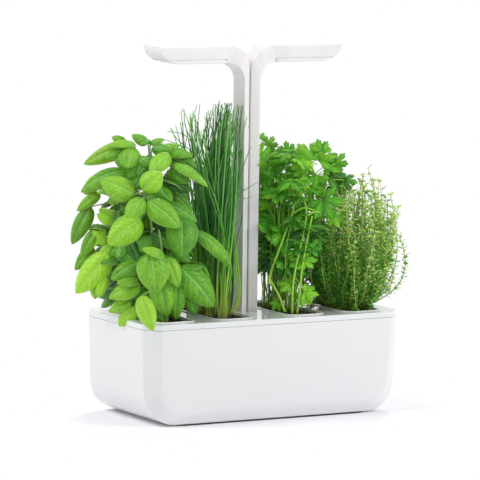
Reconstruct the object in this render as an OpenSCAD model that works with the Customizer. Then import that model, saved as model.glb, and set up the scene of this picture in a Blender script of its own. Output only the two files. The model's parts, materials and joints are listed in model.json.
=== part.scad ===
// Countertop hydroponic garden: a drafted casing with a water tank, a deck with four
// plant pods, and a sliding twin-arm grow lamp.
// X runs along the body, Y from front to back, Z up. The origin is on the table,
// below the middle of the body.

/* [Body] */
// Length of the body at the seam below the deck
body_l = 345; // [330:1:420]
// Depth of the body from front to back at the seam
body_w = 172; // [168:1:200]
// Height of the seam between casing and deck above the table
seam_z = 115.5; // [105:0.5:140]
// Thickness of the casing's walls
wall = 2.6; // [2:0.1:3.4]
// Radius of the two rounded lower corners at the ends
bottom_r = 39; // [30:1:44]
// Draft of the two ends, in degrees
end_draft = 2; // [1:0.1:3]
// Draft of the front and back panels, in degrees
panel_draft = 2; // [1:0.1:2.4]
// Length that each bevelled upright corner takes off the front
corner_x = 15.5; // [12:0.5:20]
// Depth that each bevelled upright corner takes off the ends
corner_y = 17.5; // [12:0.5:20]
// Height from the casing's underside to the foot of the front panel
panel_rise = 14; // [10:0.5:18]
// Radius of the lower corners of the front panel
panel_r = 27; // [20:1:30]
// How far the flat underside lies inside the front and back
base_in = 10; // [7:0.5:13]
// Height of the rubber foot strip
foot_h = 2; // [1.5:0.1:3]
// Width of the rubber foot strip
foot_w = 8; // [5:0.5:12]

/* [Deck] */
// Height of the deck above the seam
deck_t = 6.5; // [5.5:0.1:9]
// Thickness of the deck's plate
plate_t = 2.5; // [2:0.1:3]
// Rounding of the deck's corners seen from above
deck_r = 7; // [4:0.5:9]
// Width of a pod's open top
slot_w = 46; // [40:1:50]
// Distance from the body's front and back to the pods' open tops
slot_in = 19; // [18:0.5:31]
// Corner radius of a pod's open top
slot_r = 12; // [6:1:15]
// Distance from the middle to the inner pair of pods
inner_slot_x = 48.5; // [46:0.5:50]
// Distance from the body's ends to the middle of the outer pair of pods
outer_slot_in = 46; // [45:0.5:50]
// How far the pods' centre lies in front of the body's centre
slot_fwd = 3; // [0:0.5:4]
// Thickness of the collars that guide the pods and the mast
collar_t = 1.6; // [1.2:0.1:2]
// Length of the collars below the deck's plate
collar_h = 7; // [4:0.5:12]

/* [Tank] */
// Thickness of the tank's walls
tank_wall = 2; // [1.5:0.1:2.6]
// Gap between the ends of casing and tank
tank_gap = 5; // [4:0.5:7]
// Height of the tank above the casing's floor
tank_rise = 9.4; // [8:0.1:12]
// Gap between a pod and the front and back walls of the tank
pod_room = 3; // [2:0.5:3.5]
// Thickness of the rubber seal on the tank's rim
seal_t = 2; // [1.5:0.1:2.4]
// Width of the tank's rim and its seal
rim_w = 5; // [4:0.5:6]

/* [Pods] */
// Height of a pod below the deck's top
pod_h = 54; // [44:1:60]
// Thickness of a pod's walls
pod_wall = 1.4; // [1:0.1:1.8]
// Height of the pod's rim above the deck
rim_t = 1.2; // [0.8:0.1:2]
// Overhang of the pod's rim over the deck
rim_over = 2; // [1.5:0.1:3]
// Drop from the rim to the soil
soil_drop = 3; // [1.5:0.5:6]
// Width of the wick
wick_w = 24; // [16:1:30]
// Thickness of the wick
wick_t = 3; // [2:0.5:4]
// Gap between the wick's end and the tank's floor
wick_gap = 5; // [4:0.5:8]

/* [Lamp] */
// Height of the lamp's top above the table
lamp_top = 440; // [430:1:470]
// Distance from the mast's middle to the tip of each head
head_l = 123.5; // [110:0.5:140]
// Thickness of the heads
head_t = 20.5; // [20:0.5:26]
// Half depth of the heads where they are widest
head_half = 23.5; // [21:0.5:26]
// Half depth of the heads at their tips
tip_half = 21; // [19:0.5:24]
// Distance from the middle to where the heads are widest
flare_x = 50; // [44:1:58]
// How far the heads' middle lies behind the mast's
head_back = 9; // [6:0.5:10]
// Thickness of one stem
stem_t = 9.6; // [9:0.1:12]
// Half depth of a stem along its outer face
stem_half = 14.3; // [13:0.1:16]
// Half depth of a stem beside the slot
stem_half_in = 8.5; // [8:0.1:10]
// Width of the slot between the stems
stem_gap = 2; // [1.6:0.1:3]
// Radius at the top of the slot, where the stems part
shoulder_r = 29; // [24:1:32]
// Radius below the heads
bend_r = 22; // [18:1:26]
// Length of the rounded tips
tip_l = 30; // [24:1:34]
// Thickness left at the very tip
tip_edge = 1.5; // [1:0.1:3]
// Distance from the mast's middle to the back of the body
mast_back = 87.5; // [85:0.5:90]
// Height of the mast's lower end above the table, as stored
mast_low = 46; // [44:0.5:50]
// Height of the shoe on the mast's lower end
shoe_h = 6; // [4:0.5:8]
// Wall of the lamp's heads
lamp_wall = 2.2; // [1.8:0.1:2.6]
// Thickness of the covers below the heads
cover_t = 4.5; // [4:0.5:6]
// Number of diodes along each head
led_count = 6; // [3:1:8]

/* [Fittings] */
// Diameter of the power button
button_d = 13; // [10:0.5:15]
// Height of the button above the deck
button_up = 1.5; // [1:0.1:3]
// Travel of the button
button_travel = 1.5; // [1:0.1:1.5]
// Distance of the button behind the mast's middle
button_back = 40; // [39:0.5:42]
// Width of the filler opening
filler_w = 20; // [14:1:20]
// Length of the filler opening from front to back
filler_l = 18; // [14:1:20]
// Diameter of the float
float_d = 14; // [12:0.5:15]
// Height of the float
float_h = 20; // [14:1:24]
// Diameter of the power inlet's barrel
jack_d = 11; // [9:0.5:12]
// Bore of the power inlet
jack_bore = 5.5; // [5:0.1:6]
// Diameter of the screws
screw_d = 3; // [2.5:0.1:3.5]
// Distance from the middle to the tank's posts along the body
post_x = 100; // [80:1:120]
// Distance from the middle to the tank's posts from front to back
post_y = 46; // [34:1:54]
// Diameter of the tank's posts
post_d = 10; // [6:0.5:14]
// Length of the control board
board_w = 70; // [50:1:90]
// Height of the control board
board_h = 40; // [30:1:46]

/* [Plants] */
// Height of the basil above the deck
basil_h = 212; // [160:2:230]
// Height of the chives above the deck
chives_h = 254; // [180:2:256]
// Height of the parsley above the deck
parsley_h = 213; // [160:2:230]
// Height of the thyme above the deck
thyme_h = 166; // [130:2:190]
// Reach of the outer plants beyond the middle of their pods
outer_reach = 78; // [60:1:90]
// Reach of the plants to the front of their pods' centre
front_reach = 78; // [60:1:84]
// Reach of the plants to the back of their pods' centre
back_reach = 72; // [50:1:80]

/* [Hidden] */
$fn = 40;

arc_n = 8;           // chords in a rounded corner
slip = 0.3;          // gap of a slip fit
fit = 0.1;           // gap of a snug sliding fit
eps = 0.1;           // thickness of a hull's slices
over = 1;            // how far a cut runs past a face

white = "#f5f6f7";
pale_grey = "#dfe2e4";
dark = "#2b2c2e";
soil_brown = "#2c2119";
steel = "#c4c7ca";
board_green = "#1f6b45";

base_w = body_w - 2 * base_in;
outer_slot_x = body_l / 2 - outer_slot_in;
slot_l = body_w - 2 * slot_in;
deck_z = seam_z + deck_t;
plate_z = deck_z - plate_t;
floor_z = foot_h + wall;
tank_low = floor_z + tank_rise;
tank_top = plate_z - seal_t;
rim_z = deck_z + rim_t;
soil_z = rim_z - soil_drop;
pod_low = deck_z - pod_h;
pod_y = -slot_fwd;
tank_front = pod_y - slot_l / 2 - pod_wall - pod_room - tank_wall;
tank_back = pod_y + slot_l / 2 + pod_wall + pod_room + tank_wall;
tank_half = body_l / 2 - wall - tank_gap;

stem_in = stem_gap / 2;
stem_out = stem_in + stem_t;
head_low = lamp_top - head_t;
spine_drop = 2;                    // how far the dark strip ends below the shoulders
pocket_out = 12;                   // how far the heads' pocket reaches into the tips
spine_top = lamp_top - shoulder_r - spine_drop;
pocket_x0 = stem_out + bend_r + lamp_wall;
pocket_x1 = head_l - tip_l + pocket_out;
pocket_z = head_low + cover_t;
lamp_y = body_w / 2 - mast_back;
head_y = lamp_y + head_back;
mast_x = stem_out + slip;          // half length of the mast's hole
mast_y = stem_half + slip;         // half depth of the mast's hole
sleeve_t = 2.6;                    // wall of the mast's socket
well_gap = 1;                      // gap between socket and tank
well_x = mast_x + sleeve_t + well_gap;
well_y = mast_y + sleeve_t + well_gap;
base_t = 3;                        // plate under the mast's socket
base_flange = 11.4;                // how far that plate stands out along the body
base_side = 4;                     // how far it stands out from the hole to front and back
base_x = mast_x + sleeve_t + base_flange;
base_y = mast_y + base_side;
pad_w = 2 * stem_out - 2;          // width of the grip pads
pad_t = 1.2;                       // depth of their seats
pad_h = 18;                        // their height
pad_drop = 26;                     // from the deck's plate down to the pads' lower ends
pad_z = plate_z - pad_drop;
divide_x = (inner_slot_x + outer_slot_x) / 2;

foot_in = 1;                       // how far the foot strip lies inside the casing's flat
foot_r = 16;                       // corner radius of the foot strip
foot_y = base_w / 2 - foot_in;
screw_in = 5;                      // depth of a screw in its boss
boss_d = 2.2 * screw_d;
head_d = 1.8 * screw_d;            // diameter of a screw's head
head_h = 0.6 * screw_d;            // height of a screw's head

cap_lip = 1.5;                     // width of the button's retaining lip
cap_lip_h = 1.4;
button_y = lamp_y + button_back;
button_gap = 4.5;                  // deck left between the button and the filler
filler_y = button_y + button_d / 2 + button_gap + filler_l / 2;
filler_x = -filler_w / 2;
filler_r = 4;
float_gap = 4;                     // from the middle to the float's near side
float_x = float_d / 2 + float_gap;
guide_t = 1.5;                     // wall of the float's guide
guide_drop = 24;                   // how far the guide reaches below the pods
guide_low = pod_low - guide_drop;
guide_slot = 5;                    // width of the water slots in that guide
stem_d = 3;                        // diameter of the float's stem
stem_slip = 1;                     // play of that stem in the deck, across
tip_h = 4.5;                       // height of the float's red tip
tip_up = 0.5;                      // how much of the tip stands above the deck
switch_drop = 10;                  // from the deck's plate down to the button's board
switch_z = plate_z - switch_drop;
switch_h = 5;
switch_w = 7;
plunger_h = 1.2;
screw_skin = 2;                    // deck's plate left above the button's screws, with its post
jack_x = 60;
jack_up = 24;                      // height of the inlet above the casing's floor
jack_z = floor_z + jack_up;
jack_lip = 1.6;                    // thickness of the inlet's flange
jack_rim = 2;                      // width of the inlet's flange
jack_low = tank_back + well_gap;
pin_d = 2;
board_t = 1.6;
board_side = 10;                   // from the inlet to the middle of the control board
board_gap = 4.2;                   // gap between tank and control board
board_x = jack_x - board_side;
board_y = tank_back + board_gap;
board_z = 62;
part_t = 2.6;                      // height of the parts on that board
lead_w = 4;
lead_t = 1.6;
lead_in = 6;                       // from the board's end to the lead
lead_up = 6.4;                     // height of the lead above the casing's floor
lead_x = board_x - board_w / 2 + lead_in;
lead_z = floor_z + lead_up;

cable_w = 5;                       // width of the cable's channel in an arm
cable_d = 7;                       // depth of that channel
clamp_rows = [10, 26];             // heights of the clamp screws above the mast's end
clamp_in = 3;                      // how far the clamp screws lie inside the slot's back
clamp_y = lamp_y + stem_half_in - clamp_in;
window_in = 6;                     // frame left at the ends of the diffuser's window
window_side = 7;                   // frame left in front of and behind that window
window_half = tip_half - window_side;
lip_w = 3;                         // width of the diffuser's lip
lip_t = 1.5;
led_up = 6;                        // from the cover up to the diodes' board
led_z = pocket_z + led_up;
led_w = 3.5;
led_row = 7;                       // distance of the rows of diodes from the middle
plate_gap = 1;                     // gap round the diodes' board and the heat sink
plate_half = tip_half - lamp_wall - plate_gap;
sink_t = 2;                        // plate of the heat sink
fin_t = 1.6;
fin_step = 6;
fin_near = 10;                     // from the pocket's inner end to the fins
fin_far = 4;                       // from the fins to its outer end

crown_gap = 0.7;                   // half the gap between neighbouring plants
crown_z = rim_z + 2;
mast_room = 3;                     // gap between the mast's hole and the plants
near_x = mast_x + mast_room;
stalk_h = 6;                       // height above the soil where chives and parsley spread

// Points of an arc about c, from angle a to angle b
function arc(c, r, a, b, n = arc_n) =
    [for (i = [0:n]) c + r * [cos(a + (b - a) * i / n), sin(a + (b - a) * i / n)]];

// A closed outline with every corner rounded to radius r
function rounded(pts, r) = [
    for (i = [0:len(pts) - 1]) each
        let (p = pts[i],
             u = unit(pts[(i + len(pts) - 1) % len(pts)] - p),
             v = unit(pts[(i + 1) % len(pts)] - p),
             half = acos(u * v) / 2,
             c = p + unit(u + v) * r / sin(half),
             s = p + u * r / tan(half) - c,
             e = p + v * r / tan(half) - c,
             a = atan2(s[1], s[0]),
             turn = (atan2(e[1], e[0]) - a + 540) % 360 - 180)
        arc(c, r, a, a + turn)
];
function unit(v) = v / norm(v);
function mix(a, b, t) = a + (b - a) * t;
function ease(t) = t * t * (3 - 2 * t);

function box_outline(hx, hy) = [[hx, hy], [-hx, hy], [-hx, -hy], [hx, -hy]];

// A rectangle with a bevel at each corner, hx and hy being half its sides
function bevelled(hx, hy, cx, cy) = [
    [hx, hy - cy], [hx - cx, hy], [cx - hx, hy], [-hx, hy - cy],
    [-hx, cy - hy], [cx - hx, -hy], [hx - cx, -hy], [hx, cy - hy]
];

// End centre of the rounded lower corner of an upright U with drafted sides
function u_centre(half, top, low, r, draft) =
    [half + ((low + r - top) * sin(draft) - r) / cos(draft), low + r];

// An upright U: sides drafted inwards, lower corners rounded
function u_outline(half, top, low, r, draft) =
    let (side = concat([[half, top]],
                       arc(u_centre(half, top, low, r, draft), r, -draft, -90)))
    concat(side, [for (i = [len(side) - 1:-1:0]) [-side[i][0], side[i][1]]]);

// A band of width w along a path
function strip(p, w) = concat(
    [for (i = [0:len(p) - 1]) p[i] + across_path(p, i) * w / 2],
    [for (i = [len(p) - 1:-1:0]) p[i] - across_path(p, i) * w / 2]
);
function across_path(p, i) =
    let (d = unit(p[min(i + 1, len(p) - 1)] - p[max(i - 1, 0)])) [-d[1], d[0]];

// Extrudes an outline drawn in X and Z from y0 to y1
module along_y(y0, y1) translate([0, y1, 0]) rotate([90, 0, 0]) linear_extrude(y1 - y0) children();

// Extrudes an outline drawn in X and Y from z0 to z1
module along_z(z0, z1) translate([0, 0, z0]) linear_extrude(z1 - z0) children();

// Everything below height z
module below(z) translate([-body_l, -body_l, z - body_l]) cube([2 * body_l, 2 * body_l, body_l]);

module rod_y(x, z, d, y0, y1) translate([x, y1, z]) rotate([90, 0, 0]) cylinder(d = d, h = y1 - y0);

module rod_x(y, z, d, x0, x1) translate([x0, y, z]) rotate([0, 90, 0]) cylinder(d = d, h = x1 - x0);

module both_sides() {
    children();
    mirror([1, 0, 0]) children();
}

// Places its children at the four corners of a rectangle
module corners(x, y) for (sx = [-1, 1], sy = [-1, 1]) translate([sx * x, sy * y, 0]) children();

// ---- Casing ----

// The body's outer form, drawn in by inset, with its top at height top
module body_form(inset, top) {
    grow = (top - seam_z) * tan(end_draft);
    half = body_l / 2 - inset + grow;
    low = foot_h + inset;
    r = bottom_r - inset;
    edge = body_w / 2 - corner_y - inset * 0.3;
    flat_x = u_centre(half, top, low, r, end_draft)[0];
    hull() {
        along_y(-edge, edge) polygon(u_outline(half, top, low, r, end_draft));
        for (turn = [0, 180]) rotate([0, 0, turn])
            translate([0, inset + eps - body_w / 2, top]) rotate([panel_draft, 0, 0])
                translate([0, 0, -top])
                    along_y(-eps, 0) polygon(u_outline(half - corner_x, top,
                        foot_h + panel_rise + inset * 0.5, panel_r - inset, end_draft));
        translate([-flat_x, inset - base_w / 2, low]) cube([2 * flat_x, base_w - 2 * inset, eps]);
    }
}

module outer_casing() color(white) difference() {
    union() {
        difference() {
            body_form(0, seam_z);
            body_form(wall, seam_z + over);
        }
        corners(post_x, post_y) along_z(floor_z - over, tank_low) circle(d = post_d);
        foot_holes(boss_d, floor_z - over, floor_z + screw_in + over);
        board_holes(boss_d, board_y + board_t, back_face(board_z) - wall / 2);
    }
    // power inlet: a hole and a flat seat around it
    rod_y(jack_x, jack_z, jack_d + 2 * fit, tank_back, body_w);
    rod_y(jack_x, jack_z, jack_d + 2 * jack_rim + 1, jack_seat(), body_w);
    foot_holes(screw_d, foot_h - over, floor_z + screw_in);
    socket_holes(screw_d, foot_h + over, floor_z + over);
    board_holes(screw_d, board_y, board_y + board_t + screw_in);
}

// Outer face of the back panel at height z, and the inlet's flat seat on it
function back_face(z) = body_w / 2 - tan(panel_draft) * (seam_z - z);
function jack_seat() = back_face(jack_z) - 1;

// Rods at the four corners of the control board
module board_holes(d, y0, y1) for (sx = [-1, 1], sz = [-1, 1])
    rod_y(board_x + sx * (board_w / 2 - 5), board_z + sz * (board_h / 2 - 5), d, y0, y1);

function foot_x() = u_centre(body_l / 2, seam_z, foot_h, bottom_r, end_draft)[0];

module foot_holes(d, z0, z1) corners(foot_x() - 1.5 * foot_r, foot_y - foot_w / 2)
    along_z(z0, z1) circle(d = d);

module foot_strip() color(dark) difference() {
    along_z(0, foot_h) polygon(rounded(box_outline(foot_x(), foot_y), foot_r));
    along_z(-over, foot_h + over)
        polygon(rounded(box_outline(foot_x() - foot_w, foot_y - foot_w), foot_r - foot_w / 2));
    foot_holes(screw_d, -over, foot_h + over);
    foot_holes(head_d, -over, foot_h * 0.6);
}

module foot_screws() color(steel) {
    foot_holes(screw_d, foot_h * 0.6, floor_z + screw_in);
    foot_holes(head_d, foot_h * 0.2, foot_h * 0.6);
}

// ---- Tank ----

// The tank's form, drawn in by inset, from height low upwards
module tank_form(inset, low, top) {
    half = tank_half - inset;
    intersection() {
        along_y(-body_w, body_w)
            polygon(u_outline(half, top, low, bottom_r - inset, end_draft));
        translate([0, (tank_front + tank_back) / 2, 0]) along_z(low - over, top + over)
            polygon(bevelled(half, (tank_back - tank_front) / 2 - inset, corner_x, corner_y));
    }
}

module water_tank() color(pale_grey) difference() {
    union() {
        difference() {
            tank_form(0, tank_low, tank_top);
            tank_form(tank_wall, tank_low + tank_wall, tank_top + over);
        }
        difference() {
            tank_form(-rim_w / 2, tank_low, tank_top);
            tank_form(tank_wall, tank_low, tank_top + over);
            below(tank_top - tank_wall);
        }
        translate([0, lamp_y, 0]) along_z(tank_low, tank_top - seal_t)
            polygon(box_outline(well_x + tank_wall, well_y + tank_wall));
    }
    translate([0, lamp_y, 0]) along_z(tank_low - over, tank_top + over)
        polygon(box_outline(well_x, well_y));
}

module tank_seal() color(dark) difference() {
    tank_form(-rim_w / 2, tank_low, plate_z);
    tank_form(tank_wall, tank_low, plate_z + over);
    below(tank_top);
}

// ---- Deck ----

module deck_outline(inset)
    polygon(rounded(bevelled(body_l / 2 - inset, body_w / 2 - inset, corner_x, corner_y), deck_r));

// Outline of a pod's body, grown by grow beyond its open top
module pod_outline(grow)
    polygon(rounded(box_outline(slot_w / 2 + grow, slot_l / 2 + grow), slot_r + grow));

module at_pods() for (x = [-outer_slot_x, -inner_slot_x, inner_slot_x, outer_slot_x])
    translate([x, pod_y, 0]) children();

module deck() color(white) difference() {
    union() {
        along_z(plate_z, deck_z) deck_outline(0);
        difference() {
            along_z(seam_z, plate_z) deck_outline(0);
            along_z(seam_z - over, plate_z) deck_outline(wall);
        }
        at_pods() along_z(plate_z - collar_h, plate_z) pod_outline(pod_wall + slip + collar_t);
        translate([0, lamp_y, 0]) along_z(plate_z - collar_h, plate_z)
            polygon(box_outline(well_x + tank_wall + 2 * slip + collar_t,
                                well_y + tank_wall + 2 * slip + collar_t));
        for (s = [-1, 1]) translate([s * button_d, button_y, 0])
            along_z(switch_z, plate_z) circle(d = boss_d);
    }
    at_pods() along_z(plate_z - collar_h - over, deck_z + over) pod_outline(pod_wall + slip);
    translate([0, lamp_y, 0]) {
        along_z(plate_z - collar_h - over, deck_z + over) polygon(box_outline(mast_x, mast_y));
        along_z(plate_z - collar_h - over, plate_z)
            polygon(box_outline(well_x + tank_wall + 2 * slip, well_y + tank_wall + 2 * slip));
    }
    translate([0, button_y, 0]) along_z(plate_z - over, deck_z + over) circle(d = button_d + 2 * slip);
    translate([filler_x, filler_y, 0]) along_z(plate_z - over, deck_z + over)
        polygon(rounded(box_outline(filler_w / 2, filler_l / 2), filler_r));
    translate([float_x, filler_y, 0]) along_z(plate_z - over, deck_z + over) circle(d = stem_d + stem_slip);
    button_screw_holes(screw_d, switch_z - over, plate_z - screw_skin);
}

module button_screw_holes(d, z0, z1)
    for (s = [-1, 1]) translate([s * button_d, button_y, 0]) along_z(z0, z1) circle(d = d);

// ---- Mast socket ----

module mast_socket() color(dark) difference() {
    translate([0, lamp_y, 0]) {
        along_z(floor_z, floor_z + base_t) polygon(box_outline(base_x, base_y));
        along_z(floor_z, plate_z - slip)
            polygon(box_outline(mast_x + sleeve_t, mast_y + sleeve_t));
    }
    translate([0, lamp_y, 0]) along_z(floor_z + base_t, plate_z + over)
        polygon(box_outline(mast_x, mast_y));
    // seats of the two grip pads in the front and back walls
    translate([0, lamp_y, 0]) for (s = [-1, 1]) translate([-pad_w / 2, s * mast_y - pad_t, pad_z])
        cube([pad_w, 2 * pad_t, pad_h]);
    socket_holes(screw_d, floor_z - over, floor_z + base_t + over);
}

// Two pads of felt-faced nylon that press on the stems and hold the lamp at its height
module grip_pads() color(pale_grey) translate([0, lamp_y, 0]) for (s = [-1, 1])
    translate([-pad_w / 2, s > 0 ? stem_half + fit : -mast_y - pad_t, pad_z])
        cube([pad_w, pad_t + slip - fit, pad_h]);

module socket_holes(d, z0, z1) translate([0, lamp_y, 0])
    corners(base_x - 5.4, base_y - 6) along_z(z0, z1) circle(d = d);

module socket_screws() color(steel) {
    socket_holes(screw_d, foot_h + over, floor_z + base_t);
    socket_holes(head_d, floor_z + base_t, floor_z + base_t + head_h);
}

// ---- Electrics ----

module control_board() color(board_green) difference() {
    translate([board_x - board_w / 2, board_y, board_z - board_h / 2])
        cube([board_w, board_t, board_h]);
    board_holes(screw_d, board_y - over, board_y + board_t + over);
}

module board_parts() color(dark) for (k = [0:3])
    translate([board_x - board_w / 2 + 14 + k * 12, board_y - part_t, board_z - 9 + (k % 2) * 6])
        cube([8, part_t, 10 + (k % 2) * 3]);

module board_screws() color(steel) {
    board_holes(screw_d, board_y, board_y + board_t + screw_in);
    board_holes(head_d, board_y - head_h, board_y);
}

module dc_jack() color(dark) difference() {
    union() {
        rod_y(jack_x, jack_z, jack_d, jack_low, jack_seat());
        rod_y(jack_x, jack_z, jack_d + 2 * jack_rim, jack_seat(), jack_seat() + jack_lip);
    }
    rod_y(jack_x, jack_z, jack_bore, jack_low + jack_lip, jack_seat() + jack_lip + over);
}

module jack_pin() color(steel) rod_y(jack_x, jack_z, pin_d, jack_low + jack_lip, jack_seat() - 1);

// Lead from the control board, below the tank, to the mast's socket
module power_lead() color(dark) {
    end_y = lamp_y + base_y - 3;
    translate([lead_x, board_y, lead_z]) cube([lead_w, board_t, board_z - board_h / 2 - lead_z]);
    translate([lead_x, end_y, lead_z]) cube([lead_w, board_y + eps - end_y, lead_t]);
    translate([lead_x, end_y, floor_z + base_t]) cube([lead_w, 3, lead_z + eps - floor_z - base_t]);
}

module button_board() color(board_green) difference() {
    translate([0, button_y, 0]) along_z(switch_z - board_t, switch_z)
        polygon(box_outline(button_d + boss_d / 2 + 1, button_d / 2));
    button_screw_holes(screw_d, switch_z - 2 * board_t, plate_z);
}

module button_screws() color(steel) {
    button_screw_holes(screw_d, switch_z - board_t, plate_z - screw_skin);
    button_screw_holes(head_d, switch_z - board_t - head_h, switch_z - board_t);
}

module button_switch() color(dark) {
    translate([-switch_w / 2, button_y - switch_w / 2, switch_z])
        cube([switch_w, switch_w, switch_h - plunger_h]);
    translate([0, button_y, 0]) along_z(switch_z + switch_h - plunger_h, switch_z + switch_h)
        circle(d = switch_w / 2);
}

module button_cap() color(pale_grey) translate([0, button_y, 0]) {
    lip_z = plate_z - 0.2 - cap_lip_h;
    along_z(lip_z, deck_z + button_up) circle(d = button_d);
    along_z(lip_z, plate_z - 0.2) circle(d = button_d + 2 * cap_lip);
    along_z(switch_z + switch_h + button_travel + fit, lip_z) circle(d = 5);
}

// ---- Float ----

module float_guide() color(pale_grey) translate([float_x, filler_y, 0]) difference() {
    along_z(guide_low, plate_z) circle(d = float_d + 2 * slip + 2 * guide_t);
    along_z(guide_low + guide_t, plate_z + over) circle(d = float_d + 2 * slip);
    along_z(guide_low - over, guide_low + 2 * guide_t) circle(d = float_d - 5);
    // water slots through both walls
    translate([-guide_slot / 2, -float_d, guide_low + 6])
        cube([guide_slot, 2 * float_d, plate_z - guide_low - 16]);
}

module float() color(pale_grey) translate([float_x, filler_y, 0]) {
    along_z(guide_low + guide_t, guide_low + guide_t + float_h) circle(d = float_d);
    along_z(guide_low + guide_t + float_h, deck_z + tip_up - tip_h) circle(d = stem_d);
}

module float_tip() color("#d2382f") translate([float_x, filler_y, 0])
    along_z(deck_z + tip_up - tip_h, deck_z + tip_up) circle(d = stem_d);

// ---- Pods ----

module pod() difference() {
    union() {
        along_z(pod_low, deck_z + eps) pod_outline(pod_wall);
        along_z(deck_z, rim_z) pod_outline(pod_wall + slip + rim_over);
    }
    along_z(pod_low + pod_wall, rim_z + over) pod_outline(0);
    along_z(pod_low - over, pod_low + pod_wall + over)
        polygon(box_outline(wick_w / 2 + slip, wick_t / 2 + slip));
}

module soil() along_z(pod_low + pod_wall, soil_z) pod_outline(-slip);

module wick() along_z(tank_low + tank_wall + wick_gap, pod_low + pod_wall)
    polygon(box_outline(wick_w / 2, wick_t / 2));

// ---- Plants: plain crowns that hold the room of the leaves, in shares of their reach ----

// A crown with rounded edges between two corners
module crown(low, high, r) hull() for (x = [low[0] + r, high[0] - r])
    for (y = [low[1] + r, high[1] - r]) for (z = [low[2] + r, high[2] - r])
        translate([x, y, z]) sphere(r = r, $fn = 16);

// The stems between soil and crown
module tuft(x, y, rx, ry, top) translate([x, y, 0]) along_z(soil_z, top)
    polygon(rounded(box_outline(rx, ry), min(rx, ry) * 0.8));

module basil() {
    outer = -outer_slot_x - outer_reach;
    inner = -divide_x - crown_gap;
    front = pod_y - front_reach;
    back = pod_y + back_reach;
    top = deck_z + basil_h;
    crown([outer + outer_reach * 0.28, front, crown_z],
          [inner - outer_reach * 0.01, back - back_reach * 0.19, deck_z + basil_h * 0.62],
          outer_reach * 0.44);
    crown([outer, front + front_reach * 0.36, deck_z + basil_h * 0.2],
          [inner, back, deck_z + basil_h * 0.94], outer_reach * 0.56);
    crown([outer + outer_reach * 0.44, front + front_reach * 0.5, deck_z + basil_h * 0.4],
          [inner - outer_reach * 0.04, back - back_reach * 0.32, top], outer_reach * 0.47);
    tuft(-outer_slot_x, pod_y, slot_w * 0.33, slot_l * 0.36, crown_z + basil_h * 0.19);
}

module chives() {
    outer = -divide_x + crown_gap;
    top = deck_z + chives_h;
    hull() {
        tuft(-inner_slot_x, pod_y, slot_w * 0.37, slot_l * 0.37, soil_z + stalk_h);
        crown([outer, pod_y - slot_l * 0.33, deck_z + chives_h * 0.62],
              [-near_x, pod_y + slot_l * 0.34, deck_z + chives_h * 0.92], slot_w * 0.35);
    }
    crown([outer + slot_w * 0.43, pod_y - slot_l * 0.22, deck_z + chives_h * 0.7],
          [-near_x, pod_y + slot_l * 0.22, top], slot_w * 0.3);
}

module parsley() {
    outer = divide_x - crown_gap;
    top = deck_z + parsley_h;
    hull() {
        tuft(inner_slot_x, pod_y, slot_w * 0.37, slot_l * 0.34, soil_z + stalk_h);
        crown([near_x + slot_w * 0.08, pod_y - slot_l * 0.36, deck_z + parsley_h * 0.31],
              [outer - slot_w * 0.12, pod_y + slot_l * 0.34, deck_z + parsley_h * 0.55], slot_w * 0.47);
    }
    crown([near_x, pod_y - slot_l * 0.425, deck_z + parsley_h * 0.42],
          [outer, pod_y + slot_l * 0.41, top], slot_w * 0.72);
}

module thyme() {
    outer = outer_slot_x + outer_reach;
    inner = divide_x + crown_gap;
    front = pod_y - front_reach;
    back = pod_y + back_reach;
    top = deck_z + thyme_h;
    crown([inner + outer_reach * 0.1, front + front_reach * 0.2, crown_z + thyme_h * 0.07],
          [outer - outer_reach * 0.18, back - back_reach * 0.55, deck_z + thyme_h * 0.91],
          outer_reach * 0.5);
    crown([inner, front + front_reach * 0.3, deck_z + thyme_h * 0.28],
          [outer, back - back_reach * 0.65, deck_z + thyme_h * 0.81], outer_reach * 0.49);
    crown([inner + outer_reach * 0.27, front + front_reach * 0.41, deck_z + thyme_h * 0.4],
          [outer - outer_reach * 0.3, back - back_reach * 0.71, top], outer_reach * 0.4);
    tuft(outer_slot_x, pod_y - slot_l * 0.1, slot_w * 0.33, slot_l * 0.25, crown_z + thyme_h * 0.3);
}

// ---- Lamp ----

// Outline of the right arm in X and Z: stem, bend, head with a rounded tip, shoulder
function arm_outline() = concat(
    [[stem_in, mast_low], [stem_out, mast_low]],
    arc([stem_out + bend_r, head_low - bend_r], bend_r, 180, 90),
    [for (i = [0:arc_n]) let (t = 90 - 90 * i / arc_n)
        [head_l - tip_l + tip_l * cos(t), lamp_top - tip_edge - (head_t - tip_edge) * sin(t)]],
    [[head_l, lamp_top]],
    arc([stem_in + shoulder_r, lamp_top - shoulder_r], shoulder_r, 90, 180)
);

// Half depth of the arm at a distance x from the middle
function half_depth(x) =
    x <= stem_out ? mix(stem_half_in, stem_half, (x - stem_in) / stem_t)
    : x <= flare_x ? mix(stem_half, head_half, ease((x - stem_out) / (flare_x - stem_out)))
    : mix(head_half, tip_half, (x - flare_x) / (head_l - flare_x));

// How far the arm's middle lies behind the mast's at a distance x from the middle
function sweep(x) = head_back * ease(min(1, max(0, (x - stem_out) / bend_r)));

// Outline of the right arm in X and Y, drawn in by inset, from x0 to x1
function arm_plan(inset, x0, x1) =
    let (xs = [for (i = [0:16]) let (t = i / 16) x0 <= stem_in
            ? (i == 0 ? stem_in : i == 1 ? stem_out : mix(stem_out, x1, (i - 1) / 15))
            : mix(x0, x1, t)])
    concat([for (x = xs) [x, lamp_y + sweep(x) - half_depth(x) + inset]],
           [for (i = [len(xs) - 1:-1:0]) [xs[i], lamp_y + sweep(xs[i]) + half_depth(xs[i]) - inset]]);

module arm_form() intersection() {
    along_y(lamp_y - 2 * head_half, lamp_y + 2 * head_half) polygon(arm_outline());
    along_z(mast_low - over, lamp_top + over) polygon(arm_plan(0, stem_in, head_l));
}

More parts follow.
